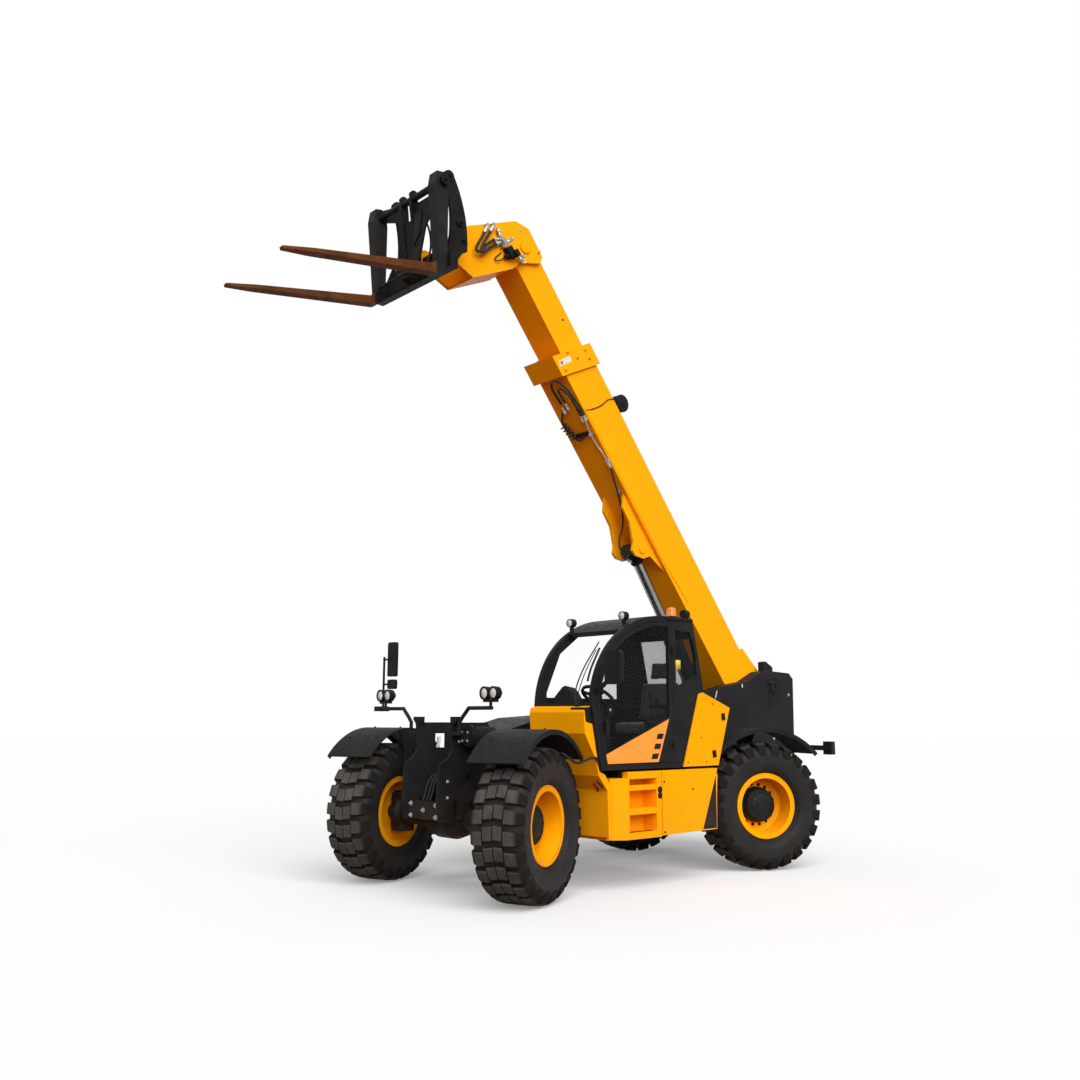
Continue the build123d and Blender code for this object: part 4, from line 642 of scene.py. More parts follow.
# reel: ribbed cover with its bolts, and its cable, held along the boom
bm = bmesh.new()
reel = frame_at(boom(4.12, 0.065, 0.215), LEFT)
revolve(bm, [(0, 0), (0.098, 0), (0.098, 0.004), (0.08, 0.009), (0.074, 0.006), (0.052, 0.007), (0.048, 0.012),
    (0.022, 0.014), (0.018, 0.018), (0, 0.0185)], reel, 48)
for x, y in circle(0.086, 8):
    bolt(bm, reel @ Vector((x, y, 0.006)), LEFT, 0.005, nut=False)
piece("reel_cover", bm, CHASSIS, 0.001, "boom")
hose("reel_cable", boom, [(4.18, -0.015, 0.2), (4.24, -0.05, 0.222), (4.275, -0.143, 0.224),
    (4.263, -0.268, 0.224), (4.294, -0.422, 0.224), (4.33, -0.53, 0.224), (4.36, -0.575, 0.2),
    (4.38, -0.585, 0.12)], 0.006, "boom")

# hydraulic lines under the boom: loop at the collar, guard spring, pipe run to the lift cylinder
LOW = -0.568
hose("collar_hose_1", boom, [(4.3, LOW - 0.02, 0.196), (4.42, LOW - 0.04, 0.212), (4.58, LOW - 0.08, 0.228),
    (4.71, LOW - 0.1, 0.21), (4.8, LOW - 0.1, 0.13), (4.8, LOW - 0.08, 0.03), (4.72, LOW - 0.06, -0.03),
    (4.62, LOW - 0.035, -0.045), (4.5, LOW - 0.025, -0.04)], 0.014, "boom")
hose("collar_hose_2", boom, [(4.3, LOW - 0.02, 0.15), (4.44, LOW - 0.03, 0.155), (4.58, LOW - 0.055, 0.165),
    (4.68, LOW - 0.06, 0.12), (4.69, LOW - 0.055, 0.05), (4.62, LOW - 0.035, 0.02), (4.5, LOW - 0.025, 0.03)],
    0.012, "boom")
PIPE = [(4.3, 0.196), (4.16, 0.16), (3.93, 0.158), (3.78, 0.2), (3.61, 0.198)]
hose("steel_pipe", lambda u, y: boom(u, LOW - 0.022, y), PIPE, 0.0085, "boom", STEEL)
hose("lift_hose", boom, [(3.61, LOW - 0.024, 0.198), (3.5, LOW - 0.03, 0.172), (3.33, LOW - 0.035, 0.134),
    (3.1, LOW - 0.037, 0.075), (2.95, LOW - 0.057, 0.02), (2.86, -0.68, 0.0), (2.79, -0.8, -0.015),
    (2.7, -0.862, -0.015), (2.6, -0.872, 0.0), (2.53, -0.858, 0.0)], 0.011, "boom")
bm = bmesh.new()
for u, y in ((4.3, 0.196), (4.3, 0.15), (3.61, 0.198)):
    fitting(bm, boom(u, LOW - 0.022, y), ALONG * (-1 if u > 4 else 1), 0.012, 0.075)
for u, y in ((4.47, -0.046), (4.5, 0.03)):
    fitting(bm, boom(u, LOW - 0.024, y), -ALONG, 0.012, 0.09)
fitting(bm, boom(2.54, -0.86, 0), (ALONG * -0.8 + SQUARE * 0.6), 0.012, 0.085)
for u, y in ((4.06, 0.16), (3.7, 0.199), (3.3, 0.128)):
    pad_at(bm, frame_at(boom(u, LOW + 0.001, y), -SQUARE), 0.05, 0.035, 0.034, 0.006)
    bolt(bm, boom(u, LOW - 0.033, y), -SQUARE, 0.006, nut=False)
piece("pipe_fittings", bm, STEEL, 0.001, "boom")
# guard spring round the second line
turns, coil = 5, []
for i in range(turns * 16 + 1):
    a, t = 2 * pi * i / 16, i / (turns * 16)
    coil.append((4.27 - 0.21 * t, LOW - 0.062 + 0.04 * cos(a), -0.14 + 0.075 * t + 0.04 * sin(a)))
hose("guard_spring", boom, coil, 0.009, "boom")
hose("spring_line", boom, [(4.44, LOW - 0.024, -0.05), (4.36, LOW - 0.045, -0.11), (4.27, LOW - 0.062, -0.14),
    (4.06, LOW - 0.062, -0.065), (4.02, LOW - 0.045, 0.0), (4.07, LOW - 0.024, 0.05)], 0.013, "boom")
bm = bmesh.new()
pad_at(bm, frame_at(boom(4.08, LOW + 0.001, 0.02), -SQUARE), 0.2, 0.05, 0.03, 0.01)
piece("line_block", bm, CHASSIS, 0.003, "boom")

# weld beads along the boom's doublers
bm = bmesh.new()
WELD = [(2.0, -0.067), (2.532, -0.081), (3.885, -0.102), (4.11, -0.103)]
for hand in (1, -1):
    for (u0, w0), (u1, w1) in zip(WELD, WELD[1:]):
        steps = int((u1 - u0) / 0.02)
        for i in range(steps):
            t = (i + 0.5) / steps
            m = frame_at(boom(u0 + (u1 - u0) * t, w0 + (w1 - w0) * t, hand * 0.2195), LEFT * hand)
            revolve(bm, [(0.011, 0.0), (0.009, 0.0022), (0, 0.003)], m, 6)
piece("boom_welds", bm, BOOM_YELLOW, body="boom")

# ---------------- boom head: valve block, fittings and hoses
OUT = CHEEK + 0.04
bm = bmesh.new()
turned = Matrix.Rotation(-BOOM_ANGLE, 4, "Z")
pad_at(bm, frame_at(boom(6.395, -0.54, CHEEK - 0.001), LEFT) @ turned, 0.105, 0.08, 0.058, 0.008)
pad_at(bm, frame_at(boom(6.395, -0.54, CHEEK + 0.056), LEFT) @ turned, 0.06, 0.05, 0.022, 0.006)
for u, w in ((6.36, -0.515), (6.43, -0.515), (6.36, -0.565), (6.43, -0.565)):
    bolt(bm, boom(u, w, CHEEK + 0.057), LEFT, 0.007, nut=False)
for u, w, d in ((6.44, -0.56, (0.25, -0.97, 0)), (6.405, -0.56, (0.1, -0.97, 0)), (6.455, -0.54, (0.9, 0.3, 0)),
        (6.591, -0.554, (-0.38, -0.92, 0)), (6.617, -0.643, (-0.43, -0.9, 0)), (6.2, -0.44, (-0.5, 0.8, 0.3)),
        (6.175, -0.425, (-0.9, 0.1, 0.4)), (6.37, -0.5, (0.1, 0.8, 0.6))):
    fitting(bm, boom(u, w, CHEEK + 0.032), ALONG * d[0] + SQUARE * d[1] + LEFT * d[2], 0.014, 0.1)
for u, w in ((6.6, -0.545), (6.625, -0.632)):
    pad_at(bm, frame_at(boom(u, w, CHEEK - 0.001), LEFT) @ turned, 0.045, 0.045, 0.045, 0.008)
piece("head_valve", bm, STEEL, 0.0015, "boom_extension")
bm = bmesh.new()
pad_at(bm, frame_at(boom(6.265, -0.52, CHEEK - 0.001), LEFT) @ turned, 0.12, 0.09, 0.075, 0.012)
pad_at(bm, frame_at(boom(6.225, -0.47, CHEEK - 0.001), LEFT) @ turned, 0.08, 0.06, 0.1, 0.012)
revolve(bm, [(0, 0), (0.026, 0), (0.026, 0.06), (0.018, 0.07), (0, 0.07)],
    frame_at(boom(6.25, -0.55, CHEEK + 0.036), -SQUARE), 24)
piece("head_valve_coil", bm, CHASSIS, 0.003, "boom_extension")
hose("head_hose_1", boom, [(6.553, -0.646, OUT), (6.53, -0.72, OUT + 0.01), (6.49, -0.83, OUT + 0.02),
    (6.44, -0.925, OUT + 0.02), (6.4, -0.9, OUT + 0.02), (6.415, -0.8, OUT + 0.01), (6.415, -0.72, OUT),
    (6.415, -0.65, OUT)], 0.015, "boom_extension")
hose("head_hose_2", boom, [(6.574, -0.733, OUT), (6.55, -0.8, OUT + 0.01), (6.52, -0.89, OUT + 0.02),
    (6.48, -0.975, OUT + 0.02), (6.435, -0.985, OUT + 0.03), (6.44, -0.89, OUT + 0.03),
    (6.465, -0.78, OUT + 0.01), (6.465, -0.65, OUT)], 0.015, "boom_extension")
hose("head_lead", boom, [(6.25, -0.61, CHEEK + 0.036), (6.24, -0.68, CHEEK + 0.03),
    (6.265, -0.755, CHEEK + 0.02), (6.3, -0.74, CHEEK + 0.012), (6.3, -0.66, CHEEK + 0.008),
    (6.31, -0.6, CHEEK - 0.003)], 0.007, "boom_extension")
bolts("head_clamps", "boom_extension", [(boom(6.404, -0.183, CHEEK), LEFT, 0.01),
    (boom(6.109, -0.045, CHEEK), LEFT, 0.01)])

# ---------------- fork carriage
spots = []
for hand in (1, -1):
    normal = LEFT * hand
    for x, z in ((0.203, 0.637), (0.05, 0.178)):
        spots.append((carriage(x, hand * 0.483, z), normal, 0.018))
    spots.append((carriage(0, hand * 0.465, 0), normal, 0.022))
    spots.append((carriage(0.37, hand * 0.64, 0.47), normal, 0.016))
    for y in (0.08, 0.32, 0.62):
        spots.append((carriage(0.3, hand * y, -0.3), AHEAD, 0.012))
bolts("carriage_bolts", "carriage", spots, HEAD)
bm = bmesh.new()
# stepped plate that ties the hanger to the left side, with the shift cylinder across it
plate(bm, on_front, [(0.104, 0.405), (0.385, 0.405), (0.385, 0.2), (0.3, 0.1), (0.245, -0.1), (0.2, -0.255),
    (0.104, -0.255)], 0.345, 0.365)
plate(bm, on_front, [(0.12, 0.3), (0.25, 0.3), (0.22, 0.05), (0.12, -0.05)], 0.364, 0.378)
shift = frame_at(carriage(0.4, -0.43, -0.335), LEFT)
revolve(bm, [(0, 0), (0.018, 0.002), (0.018, 0.34), (0.03, 0.345), (0.034, 0.36), (0.034, 0.6), (0.03, 0.615),
    (0.018, 0.62), (0.018, 0.858), (0, 0.86)], shift, 24)
for y in (-0.06, 0.14):
    pad_at(bm, frame_at(carriage(0.2995, y, -0.335), AHEAD), 0.05, 0.09, 0.075, 0.01)
piece("shift_plate", bm, HEAD, 0.003, "carriage")
hose("carriage_hose", carriage, [(0.3, 0.14, 0.3), (0.24, 0.17, 0.22), (0.2, 0.18, 0.06), (0.22, 0.2, -0.12),
    (0.27, 0.2, -0.27)], 0.011, "carriage")

# ---------------- lift cylinder
bm = bmesh.new()
rod = frame_at(LIFT_BASE, LIFT)
revolve(bm, [(0.0603, 2.935), (0.073, 2.94), (0.079, 2.96), (0.079, 3.04), (0.0603, 3.05)], rod, 40)
piece("rod_end_sleeve", bm, CHASSIS, 0.003, "lift_piston")
bm = bmesh.new()
for x, y in circle(0.092, 8):
    bolt(bm, rod @ Vector((x, y, 1.88)), LIFT, 0.0085, nut=False)
for s in (0.4, 1.3):
    revolve(bm, [(0.1003, s), (0.107, s + 0.004), (0.107, s + 0.046), (0.1003, s + 0.05)], rod, 40)
piece("gland_bolts", bm, CHASSIS, 0.001, "lift_cylinder")
side = LIFT.cross(LEFT).normalized()
hose("barrel_pipe", lambda along, off: LIFT_BASE + LIFT * along - side * off,
    [(0.3, 0.112), (0.8, 0.116), (1.3, 0.116), (1.7, 0.118), (1.76, 0.125), (1.8, 0.105)], 0.009,
    "lift_cylinder", STEEL)

# ---------------- front of the frame
TOWER = 0.43
bm = bmesh.new()
for y, z in ((0.2, 0.83), (0.2, 0.72), (-0.2, 0.83), (-0.2, 0.72), (0.0, 0.775)):
    bolt(bm, at(2.145, y, z), AHEAD, 0.017)
for y, z in ((0.38, 1.51), (0.46, 1.51), (0.38, 1.43), (0.46, 1.43)):
    bolt(bm, at(1.985, y, z), AHEAD, 0.009)
for hand in (1, -1):
    for x, z in ((1.95, 1.5), (1.95, 1.42), (2.08, 1.05), (2.08, 0.9), (1.6, 1.52), (1.48, 1.2)):
        bolt(bm, at(x, hand * 0.29, z), LEFT * hand, 0.013)
    for x, z in ((-1.3, 1.55), (-1.3, 1.75), (-3.2, 1.4), (-2.95, 1.4), (-3.3, 1.95)):
        bolt(bm, at(x, hand * TOWER, z), LEFT * hand, 0.013)
piece("frame_bolts", bm, STEEL, smooth=False)
# round recessed cover and hole on each tower, and the pivot's keeper
bm = bmesh.new()
for hand in (1, -1):
    side_normal = LEFT * hand
    revolve(bm, [(0.096, -0.002), (0.118, -0.002), (0.118, 0.004), (0.112, 0.008), (0.1, 0.008),
        (0.096, 0.004)], facing(-3.0, hand * TOWER, 2.06, side_normal), 48)
    revolve(bm, [(0, 0.0005), (0.026, 0.0005), (0.034, 0.004), (0.04, 0.004), (0.042, -0.002)],
        facing(-2.971, hand * TOWER, 1.87, side_normal), 32)
    pad_at(bm, facing(-2.9, hand * 0.442, 2.1, side_normal), 0.1, 0.03, 0.012, 0.008)
piece("tower_covers", bm, CHASSIS, 0.0015)
bm = bmesh.new()
pad_at(bm, facing(-2.33, TOWER - 0.0005, 2.045, LEFT), 0.018, 0.045, 0.003, 0.003)
pad_at(bm, facing(-1.815, TOWER - 0.0005, 1.93, LEFT) @ Matrix.Rotation(radians(-22), 4, "Z"), 0.012, 0.1,
    0.003, 0.003)
piece("tower_plates", bm, WHITE, 0.0005)
# white connector with its lead behind the window in the right plate
bm = bmesh.new()
pad_at(bm, facing(1.765, -0.297, 1.425, LEFT), 0.032, 0.07, 0.033, 0.008)
revolve(bm, [(0, 0), (0.016, 0), (0.018, 0.03), (0.01, 0.05), (0, 0.05)],
    facing(1.765, -0.285, 1.385, Vector((0.2, -0.2, -0.9))), 16)
piece("front_connector", bm, WHITE, 0.003)
hose("front_lead", at, [(1.772, -0.293, 1.345), (1.79, -0.302, 1.29), (1.84, -0.304, 1.25),
    (1.88, -0.302, 1.16), (1.9, -0.299, 1.05), (1.93, -0.297, 0.96)], 0.006)
for k, y in enumerate((0.07, 0.02, -0.04)):
    hose(f"nose_hose_{k}", at, [(1.88, y, 1.1), (1.97, y, 1.12), (2.05, y - 0.01, 1.05), (2.08, y - 0.02, 0.92),
        (2.1, y - 0.03, 0.85)], 0.012)
for hand in (1, -1):
    for corner_x, name in ((1.805, "front"), (-1.805, "rear")):
        side_name = "left" if hand > 0 else "right"
        hose(f"brake_hose_{name}_{side_name}", at, [(corner_x + 0.05, hand * 0.35, 0.84),
            (corner_x + 0.1, hand * 0.5, 0.9), (corner_x + 0.11, hand * 0.62, 0.9),
            (corner_x + 0.07, hand * 0.69, 0.84), (corner_x + 0.03, hand * 0.71, 0.8)], 0.01)

# filter housing: ribs round the can and the spring clips that hold its cap
bm = bmesh.new()
can = facing(1.65, 0.42, 1.47, AHEAD)
for s in (0.03, 0.075, 0.12, 0.165, 0.21):
    revolve(bm, [(0.0895, s), (0.0945, s + 0.004), (0.0945, s + 0.014), (0.0895, s + 0.018)], can, 40)
for x, y in circle(0.098, 4, pi / 4):
    pad_at(bm, frame_at(can @ Vector((x, y, 0.26)), can.to_3x3() @ Vector((x, y, 0))), 0.022, 0.06, 0.01, 0.005)
piece("filter_ribs", bm, CHASSIS, 0.001)

# ---------------- lamps, mirrors and beacon
def lamp_face(bm, m, r):
    """Reflector bowl, lens with moulded rings, and bezel."""
    revolve(bm, [(0.0, 0.0015), (0.25 * r, 0.003), (0.28 * r, 0.001), (0.45 * r, 0.0035), (0.48 * r, 0.0015),
        (0.66 * r, 0.0035), (0.69 * r, 0.0012), (0.86 * r, 0.003), (0.9 * r, 0.0)], m, 40, 0)
    revolve(bm, [(0.88 * r, -0.001), (0.9 * r, 0.005), (0.97 * r, 0.007), (1.0 * r, 0.004), (1.0 * r, -0.002)],
        m, 40, 1)


bm = bmesh.new()
for hand in (1, -1):
    for y in (0.787, 0.917):
        lamp_face(bm, facing(2.0575, hand * y, 1.87, AHEAD), 0.0515)
for x, y, z in ((0.497, 1.1, 2.668), (0.66, 0.51, 2.62)):
    lamp_face(bm, facing(x + 0.0335, y, z, AHEAD), 0.0435)
lamp_face(bm, facing(-0.46 - 0.0295, 1.1, 2.75, BACK), 0.0435)
piece("lamp_lenses", bm, [LENS, BLACK])
bm = bmesh.new()
for hand in (1, -1):
    for z, h in ((1.335, 0.055), (1.275, 0.055)):
        pad_at(bm, facing(-3.3995, hand * 0.96, z, BACK), 0.1, h, 0.007, 0.01, 0 if z > 1.3 else 1)
piece("rear_lenses", bm, [AMBER, RED], 0.002)
bm = bmesh.new()
pad_at(bm, facing(1.0055, 1.467, 2.118, BACK), 0.18, 0.29, 0.003, 0.035)
for z, h in ((2.25, 0.33), (1.99, 0.08)):
    pad_at(bm, facing(1.9105, -0.89, z, BACK), 0.12, h, 0.003, 0.02)
piece("mirror_faces", bm, SILVER, 0.001)
bm = bmesh.new()
base = facing(-0.353, 1.0, 2.69, UP)
revolve(bm, [(0, 0.0), (0.06, 0.0), (0.062, 0.006), (0.062, 0.018), (0.057, 0.026), (0.057, 0.034),
    (0.052, 0.038), (0, 0.038)], base, 48, 1)
lens = [(0.054, 0.036)]
for k in range(13):
    lens.append((0.0545 - 0.008 * (k / 12) + (0.0012 if k % 2 else 0), 0.04 + 0.078 * (k / 12)))
revolve(bm, lens + [(0.04, 0.126), (0.024, 0.133), (0, 0.135)], base, 48)
beacon = piece("beacon_lamp", bm, [BEACON, CHASSIS])
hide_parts("beacon")

# ---------------- cab: door trim, wiper, pod, panels and steps
SIDE, PANEL, HOOD_SIDE = 1.22, 1.2395, -1.22
bm = bmesh.new()
TRIANGLE = [(0.895, 1.3), (0.872, 1.212), (0.14, 1.214), (-0.03, 1.64)]
plate(bm, on_side, TRIANGLE, SIDE - 0.001, SIDE + 0.0015)
piece("door_panel_colour", bm, PALE, 0.0006, "door")
bm = bmesh.new()
for x, z in ((0.114, 1.467), (0.154, 1.368), (0.194, 1.271)):
    plate(bm, on_side, [(x + 0.056, z - 0.027), (x - 0.036, z - 0.027), (x - 0.058, z + 0.027),
        (x + 0.034, z + 0.027)], SIDE + 0.001, SIDE + 0.003)
# lock disc and pull
revolve(bm, [(0, 0.004), (0.02, 0.004), (0.024, 0.0), (0.04, 0.001), (0.044, 0.007), (0.052, 0.007),
    (0.055, -0.003)], facing(0.836, SIDE - 0.002, 1.724, LEFT), 40)
pad_at(bm, facing(0.905, SIDE + 0.017, 1.555, LEFT), 0.034, 0.125, 0.012, 0.012)
piece("door_fittings", bm, CHASSIS, 0.001, "door")
# core of the door's lock
bm = bmesh.new()
bolt(bm, at(0.836, SIDE + 0.002, 1.724), LEFT, 0.009, nut=False)
piece("door_lock_core", bm, STEEL, body="door", smooth=False)

# wiper: motor box under the sill, two parallel arms that follow the curved pane, and the blade
bm = bmesh.new()
plate(bm, on_side, [(1.045, 1.59), (1.084, 1.752), (1.16, 1.745), (1.14, 1.61)], 1.0, 1.195)
for y in (1.03, 1.062):
    revolve(bm, [(0, 0), (0.016, 0), (0.016, 0.05), (0.01, 0.06), (0, 0.06)], facing(1.108, y, 1.725, UP), 20)
piece("wiper_motor", bm, CHASSIS, 0.006)
hose("wiper_arm", at, [(1.108, 1.03, 1.77), (1.099, 1.011, 1.846), (1.084, 0.996, 1.933), (1.023, 1.039, 2.117),
    (0.946, 1.073, 2.255), (0.838, 1.078, 2.387)], 0.007)
hose("wiper_arm_2", at, [(1.108, 1.062, 1.77), (1.099, 1.045, 1.846), (1.086, 1.046, 1.922),
    (1.014, 1.085, 2.135), (0.905, 1.105, 2.307)], 0.005)
hose("wiper_blade", at, [(0.885, 1.13, 2.322), (0.962, 1.142, 2.211), (1.019, 1.132, 2.104),
    (1.058, 1.136, 1.997)], 0.011)
# instrument pod on the console, behind the sill
bm = bmesh.new()
POD = [(0.5, 1.765), (0.515, 1.845), (0.57, 1.895), (0.64, 1.955), (0.68, 1.97), (0.72, 1.958), (0.775, 1.9),
    (0.815, 1.845), (0.83, 1.765)]
prism(bm, POD, lambda y, z: at(0.8, y, z - 0.02), lambda y, z: at(0.93, y, z))
piece("instrument_pod", bm, PLASTIC, 0.012)
# hoses and a red coupling at the foot of the cab, and the line from the fender to it
hose("foot_hose_1", at, [(0.86, 0.99, 1.14), (0.89, 1.03, 1.06), (0.865, 1.08, 0.98), (0.835, 1.05, 0.94),
    (0.808, 1.02, 0.97)], 0.013)
hose("foot_hose_2", at, [(0.88, 1.06, 1.14), (0.93, 1.1, 1.07), (0.9, 1.16, 1.01), (0.85, 1.15, 0.985),
    (0.808, 1.12, 0.995)], 0.011)
hose("foot_hose_3", at, [(1.46, 1.195, 1.33), (1.37, 1.203, 1.277), (1.27, 1.206, 1.222), (1.16, 1.206, 1.25),
    (1.04, 1.206, 1.285), (0.985, 1.2, 1.25), (0.955, 1.19, 1.17)], 0.012)
bm = bmesh.new()
for y, z in ((1.02, 0.97), (1.12, 0.995)):
    fitting(bm, at(0.8, y, z), Vector((1, 0, -0.1)), 0.014, 0.05)
fitting(bm, at(0.872, 1.075, 1.0), Vector((0.3, -0.5, 0.8)), 0.016, 0.05, 1)
piece("foot_fittings", bm, [STEEL, RED], 0.001)

# latches on the upper panel
bm = bmesh.new()
for x, z in ((-0.897, 1.666), (-0.732, 1.279)):
    m = facing(x, 1.2345, z, LEFT) @ Matrix.Rotation(radians(10), 4, "Z")
    pad_at(bm, m, 0.06, 0.075, 0.008, 0.006)
    pad_at(bm, m @ Matrix.Translation((0, 0, 0.008)), 0.036, 0.048, 0.006, 0.006)
piece("panel_latches", bm, CHASSIS, 0.0015)
# dark wedge on the lower panel with its pale edge line
bm = bmesh.new()
plate(bm, on_side, [(-0.742, 1.055), (-0.738, 0.517), (-0.512, 0.517)], PANEL, 1.2412)
piece("lower_wedge", bm, FRAME_GREY, 0.0005)
bm = bmesh.new()
plate(bm, on_side, [(-0.738, 0.517), (-0.512, 0.517), (-0.5, 0.507), (-0.75, 0.507)], PANEL, 1.2414)
plate(bm, on_side, [(-0.742, 1.055), (-0.738, 0.517), (-0.75, 0.507), (-0.754, 1.062)], PANEL, 1.2414)
piece("wedge_edge", bm, PALE)
spots = [(at(x, SIDE, z), LEFT, 0.01) for x, z in ((-0.469, 1.968), (-0.4, 1.22), (-0.16, 1.2))]
spots += [(at(x, PANEL + 0.0005, z), LEFT, 0.008)
    for x, z in ((-0.36, 0.93), (-0.7, 0.93), (0.085, 1.02), (0.085, 0.53))]
spots += [(at(x, 1.235, z), LEFT, 0.006) for x, z in ((-0.52, 1.45), (-0.6, 1.2), (-0.3, 1.2), (-0.72, 1.8))]
bolts("body_bolts", "chassis", spots, CHASSIS)
# step treads: raised grip bars on the lower face of each recess
bm = bmesh.new()
for z in (0.72, 0.55):
    for k in range(6):
        pad_at(bm, facing(0.235 + 0.064 * k, 1.17, z, UP), 0.02, 0.09, 0.005, 0.004)
piece("step_grips", bm, CHASSIS, 0.001)
# two locks beside the steps
bm = bmesh.new()
for z in (0.945, 0.89):
    revolve(bm, [(0, 0.01), (0.016, 0.01), (0.02, 0.006), (0.03, 0.006), (0.034, 0.0), (0.034, -0.004)],
        facing(0.15, PANEL, z, LEFT), 24)
piece("box_locks", bm, CHASSIS, 0.001)
bm = bmesh.new()
plate(bm, lambda a, b, y: at(-0.197 + a, y, 2.195 + b), rounded(0.085, 0.1, 0.01), 1.2105, 1.2118)
piece("window_label", bm, LABEL)

# engine hood: bolts and latches
spots = [(at(x, HOOD_SIDE, z), RIGHT, 0.01) for x, z in ((-0.86, 1.24), (-0.86, 1.6), (0.8, 1.24))]
bolts("hood_bolts", "hood", spots, CHASSIS)
bm = bmesh.new()
for x in (-0.5, 0.45):
    pad_at(bm, facing(x, -1.2195, 1.195, RIGHT), 0.12, 0.045, 0.012, 0.012)
    pad_at(bm, facing(x, -1.2305, 1.195, RIGHT), 0.07, 0.02, 0.012, 0.008)
piece("hood_latches", bm, CHASSIS, 0.002, "hood")


# ---------------- seat
# its place, and how far a cushion's ends are drawn in before it swells
SEAT_X, SEAT_Y, PULL = -0.15, 0.81, 0.014


def cushion(name, outline, width, cap, seams):
    """A stuffed cushion: its side outline, drawn in a little, blown up as cloth with its growth capped."""
    outline = [(SEAT_X + x, z) for x, z in outline]
    cx = sum(p[0] for p in outline) / len(outline)
    cz = sum(p[1] for p in outline) / len(outline)
    bm = bmesh.new()
    small = [(cx + (x - cx) * 0.93, cz + (z - cz) * 0.9) for x, z in outline]
    plate(bm, on_side, small, SEAT_Y - width / 2 + PULL, SEAT_Y + width / 2 - PULL)
    bmesh.ops.recalc_face_normals(bm, faces=bm.faces)
    bmesh.ops.bevel(bm, geom=bm.edges[:] + bm.verts[:], offset=0.022, segments=3, profile=0.6, affect="EDGES")
    obj = added(name, mesh_of(name, bm))
    remesh = obj.modifiers.new("remesh", "REMESH")
    remesh.mode, remesh.voxel_size = "VOXEL", 0.006
    bake(obj)
    rest = [v.co.copy() for v in obj.data.vertices]
    cloth = obj.modifiers.new("cloth", "CLOTH")
    settings = cloth.settings
    settings.use_pressure, settings.uniform_pressure_force, settings.quality = True, 4, 5
    settings.effector_weights.gravity = 0
    cloth.point_cache.frame_start, cloth.point_cache.frame_end = 1, 20
    for step in range(1, 21):
        SCENE.frame_set(step)
    bake(obj)
    for v, r in zip(obj.data.vertices, rest):
        move = v.co - r
        if move.length > cap:
            v.co = r + move.normalized() * cap
    SCENE.frame_set(1)
    # sewn channels across the cushion, pulled in after the cloth has swelled
    for v in obj.data.vertices:
        for seam in seams:
            pull = exp(-((v.co.y - SEAT_Y - seam) / 0.009) ** 2)
            middle = Vector((cx - SHIFT, v.co.y, cz))
            v.co += (middle - v.co).normalized() * 0.008 * pull
    smooth = obj.modifiers.new("smooth", "SMOOTH")
    smooth.iterations, smooth.factor = 2, 0.5
    for p in obj.data.polygons:
        p.use_smooth = True
    obj.data.materials.clear()
    obj.data.materials.append(CLOTH)
    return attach(obj, "chassis")


def bake(obj):
    """Keeps the mesh that the modifiers give, and drops them."""
    bpy.context.view_layer.update()
    shape = bpy.data.meshes.new_from_object(obj.evaluated_get(bpy.context.evaluated_depsgraph_get()))
    obj.modifiers.clear()
    obj.data = shape


cushion("seat_cushion", [(0.27, 1.49), (0.28, 1.595), (-0.1, 1.6), (-0.2, 1.6), (-0.2, 1.49)], 0.5, 0.012,
    (-0.15, 0.15))
cushion("seat_back", [(-0.1, 1.61), (-0.19, 2.05), (-0.27, 2.05), (-0.235, 1.61)], 0.5, 0.012, (-0.15, 0.15))
cushion("seat_headrest", [(-0.185, 2.055), (-0.225, 2.25), (-0.3, 2.24), (-0.268, 2.055)], 0.28, 0.01, ())
bm = bmesh.new()
for k in range(6):
    # folded bellows of the sprung base
    z = 1.2 + 0.045 * k
    pad_at(bm, facing(SEAT_X, SEAT_Y, z, UP), 0.34, 0.34, 0.026, 0.05)
    pad_at(bm, facing(SEAT_X, SEAT_Y, z + 0.026, UP), 0.31, 0.31, 0.019, 0.045)
pad_at(bm, facing(SEAT_X, SEAT_Y, 1.468, UP), 0.4, 0.44, 0.024, 0.03)
for hand in (1, -1):
    arm = at(SEAT_X + 0.03, SEAT_Y + hand * 0.22, 1.742)
    pad_at(bm, frame_at(arm, UP), 0.055, 0.33, 0.045, 0.025)
    pad_at(bm, facing(SEAT_X - 0.135, SEAT_Y + hand * 0.225, 1.7, LEFT * hand), 0.05, 0.1, 0.02, 0.015)
base = piece("seat_base", bm, PLASTIC, 0.006)
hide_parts("seat")

# side console with two levers
bm = bmesh.new()
for x, y, z, h in ((0.05, 1.08, 1.62, 0.2), (-0.02, 1.1, 1.62, 0.16)):
    revolve(bm, [(0.014, 0), (0.01, h * 0.5), (0.01, h), (0.024, h + 0.02), (0.028, h + 0.05), (0.02, h + 0.08),
        (0, h + 0.085)], facing(x, y, z, Vector((0.15, 0, 1))), 24)
pad_at(bm, facing(0.02, 1.09, 1.58, UP), 0.11, 0.3, 0.05, 0.03)
pad_at(bm, facing(0.02, 1.09, 1.2, UP), 0.08, 0.24, 0.39, 0.03)
piece("side_console", bm, PLASTIC, 0.004)

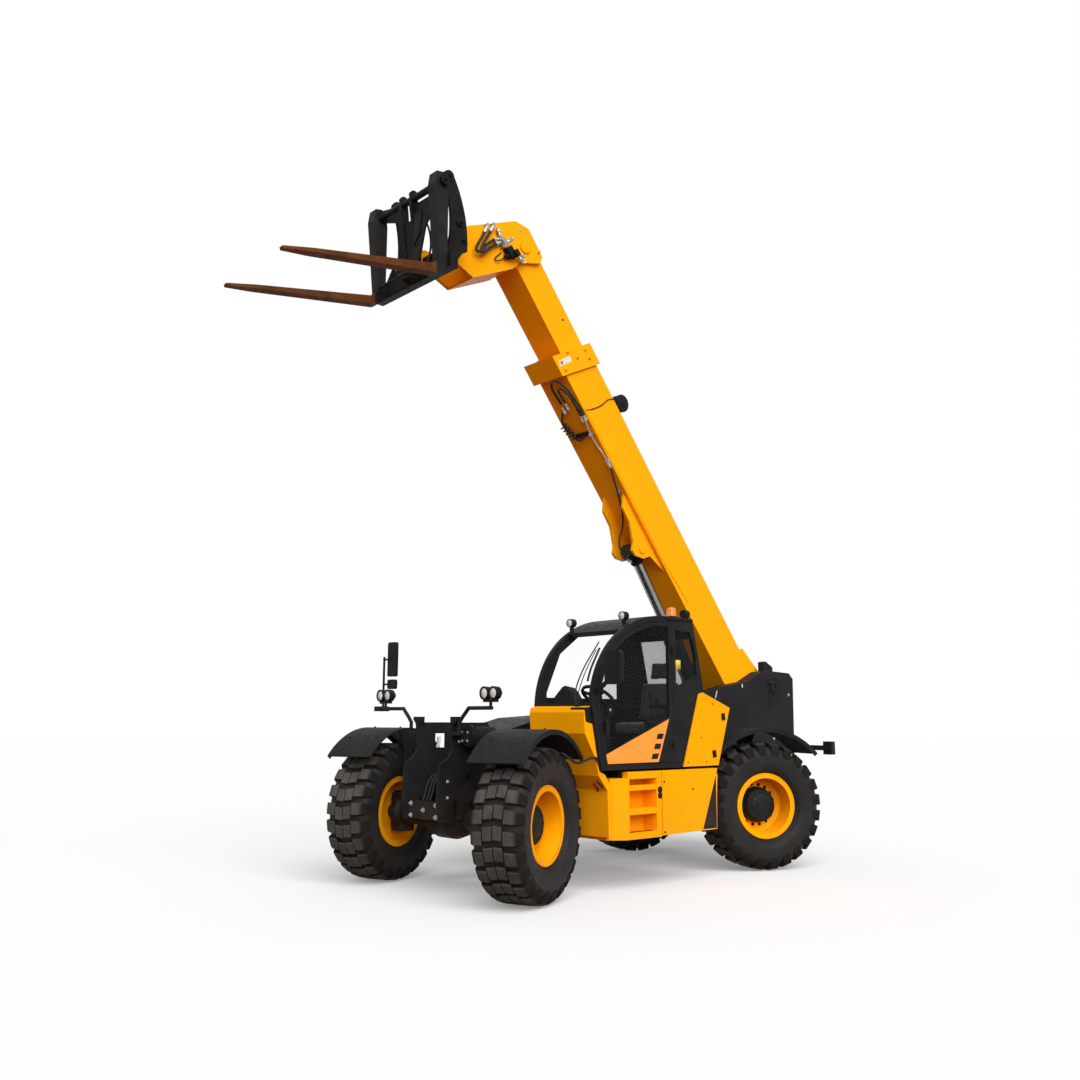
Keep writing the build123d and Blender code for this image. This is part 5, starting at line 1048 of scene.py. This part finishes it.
# ---------------- floor, world and light
def by_ray(nt, others, seen, output):
    """One shader for camera, glossy and transmission rays, the other for all other rays."""
    path = node(nt, "LightPath")
    rays = [path.outputs[f"Is {kind} Ray"] for kind in ("Camera", "Glossy", "Transmission")]
    pick = node(nt, "MixShader")
    link(times(nt, times(nt, rays[0], rays[1], "ADD"), rays[2], "ADD"), pick.inputs[0])
    link(others.outputs[0], pick.inputs[1])
    link(seen.outputs[0], pick.inputs[2])
    link(pick.outputs[0], nt.nodes[output].inputs[0])


bm = bmesh.new()
bmesh.ops.create_circle(bm, cap_ends=True, radius=90, segments=96)
floor = added("floor", mesh_of("floor", bm))
floor.location.z = -0.002
FLOOR = bpy.data.materials.new("floor_white")
floor.data.materials.append(FLOOR)
FLOOR.use_nodes = True
nt = FLOOR.node_tree
nt.nodes.remove(nt.nodes["Principled BSDF"])
# seen, the floor is pale with a weak glow; to other rays it is warm, which gives the undersides their red-brown
shown = put(node(nt, "BsdfDiffuse"), {"Color": (0.64, 0.64, 0.64, 1)})
warm = put(node(nt, "BsdfDiffuse"), {"Color": (0.26, 0.1, 0.04, 1)})
glow, both = put(node(nt, "Emission"), {"Strength": 0.22}), node(nt, "AddShader")
link(shown.outputs[0], both.inputs[0])
link(glow.outputs[0], both.inputs[1])
by_ray(nt, warm, both, "Material Output")

world = bpy.data.worlds.new("studio")
SCENE.world = world
world.use_nodes = True
nt = world.node_tree
white = put(nt.nodes["Background"], {"Color": (1, 1, 1, 1), "Strength": 1.0})
sky = node(nt, "Background")
split = node(nt, "SeparateXYZ")
link(node(nt, "TexCoord").outputs["Generated"], split.inputs[0])
link(remap(nt, split.outputs["Z"], -0.1, 0.8, 0.36, 0.6), sky.inputs["Strength"])
by_ray(nt, sky, white, "World Output")

sun = added("sun", bpy.data.lights.new("sun", "SUN"))
sun.data.energy = 3.9
sun.data.angle = radians(65)
sun.rotation_mode = "QUATERNION"
sun.rotation_quaternion = Vector((0.34, 0.71, 0.61)).normalized().to_track_quat("Z", "Y")
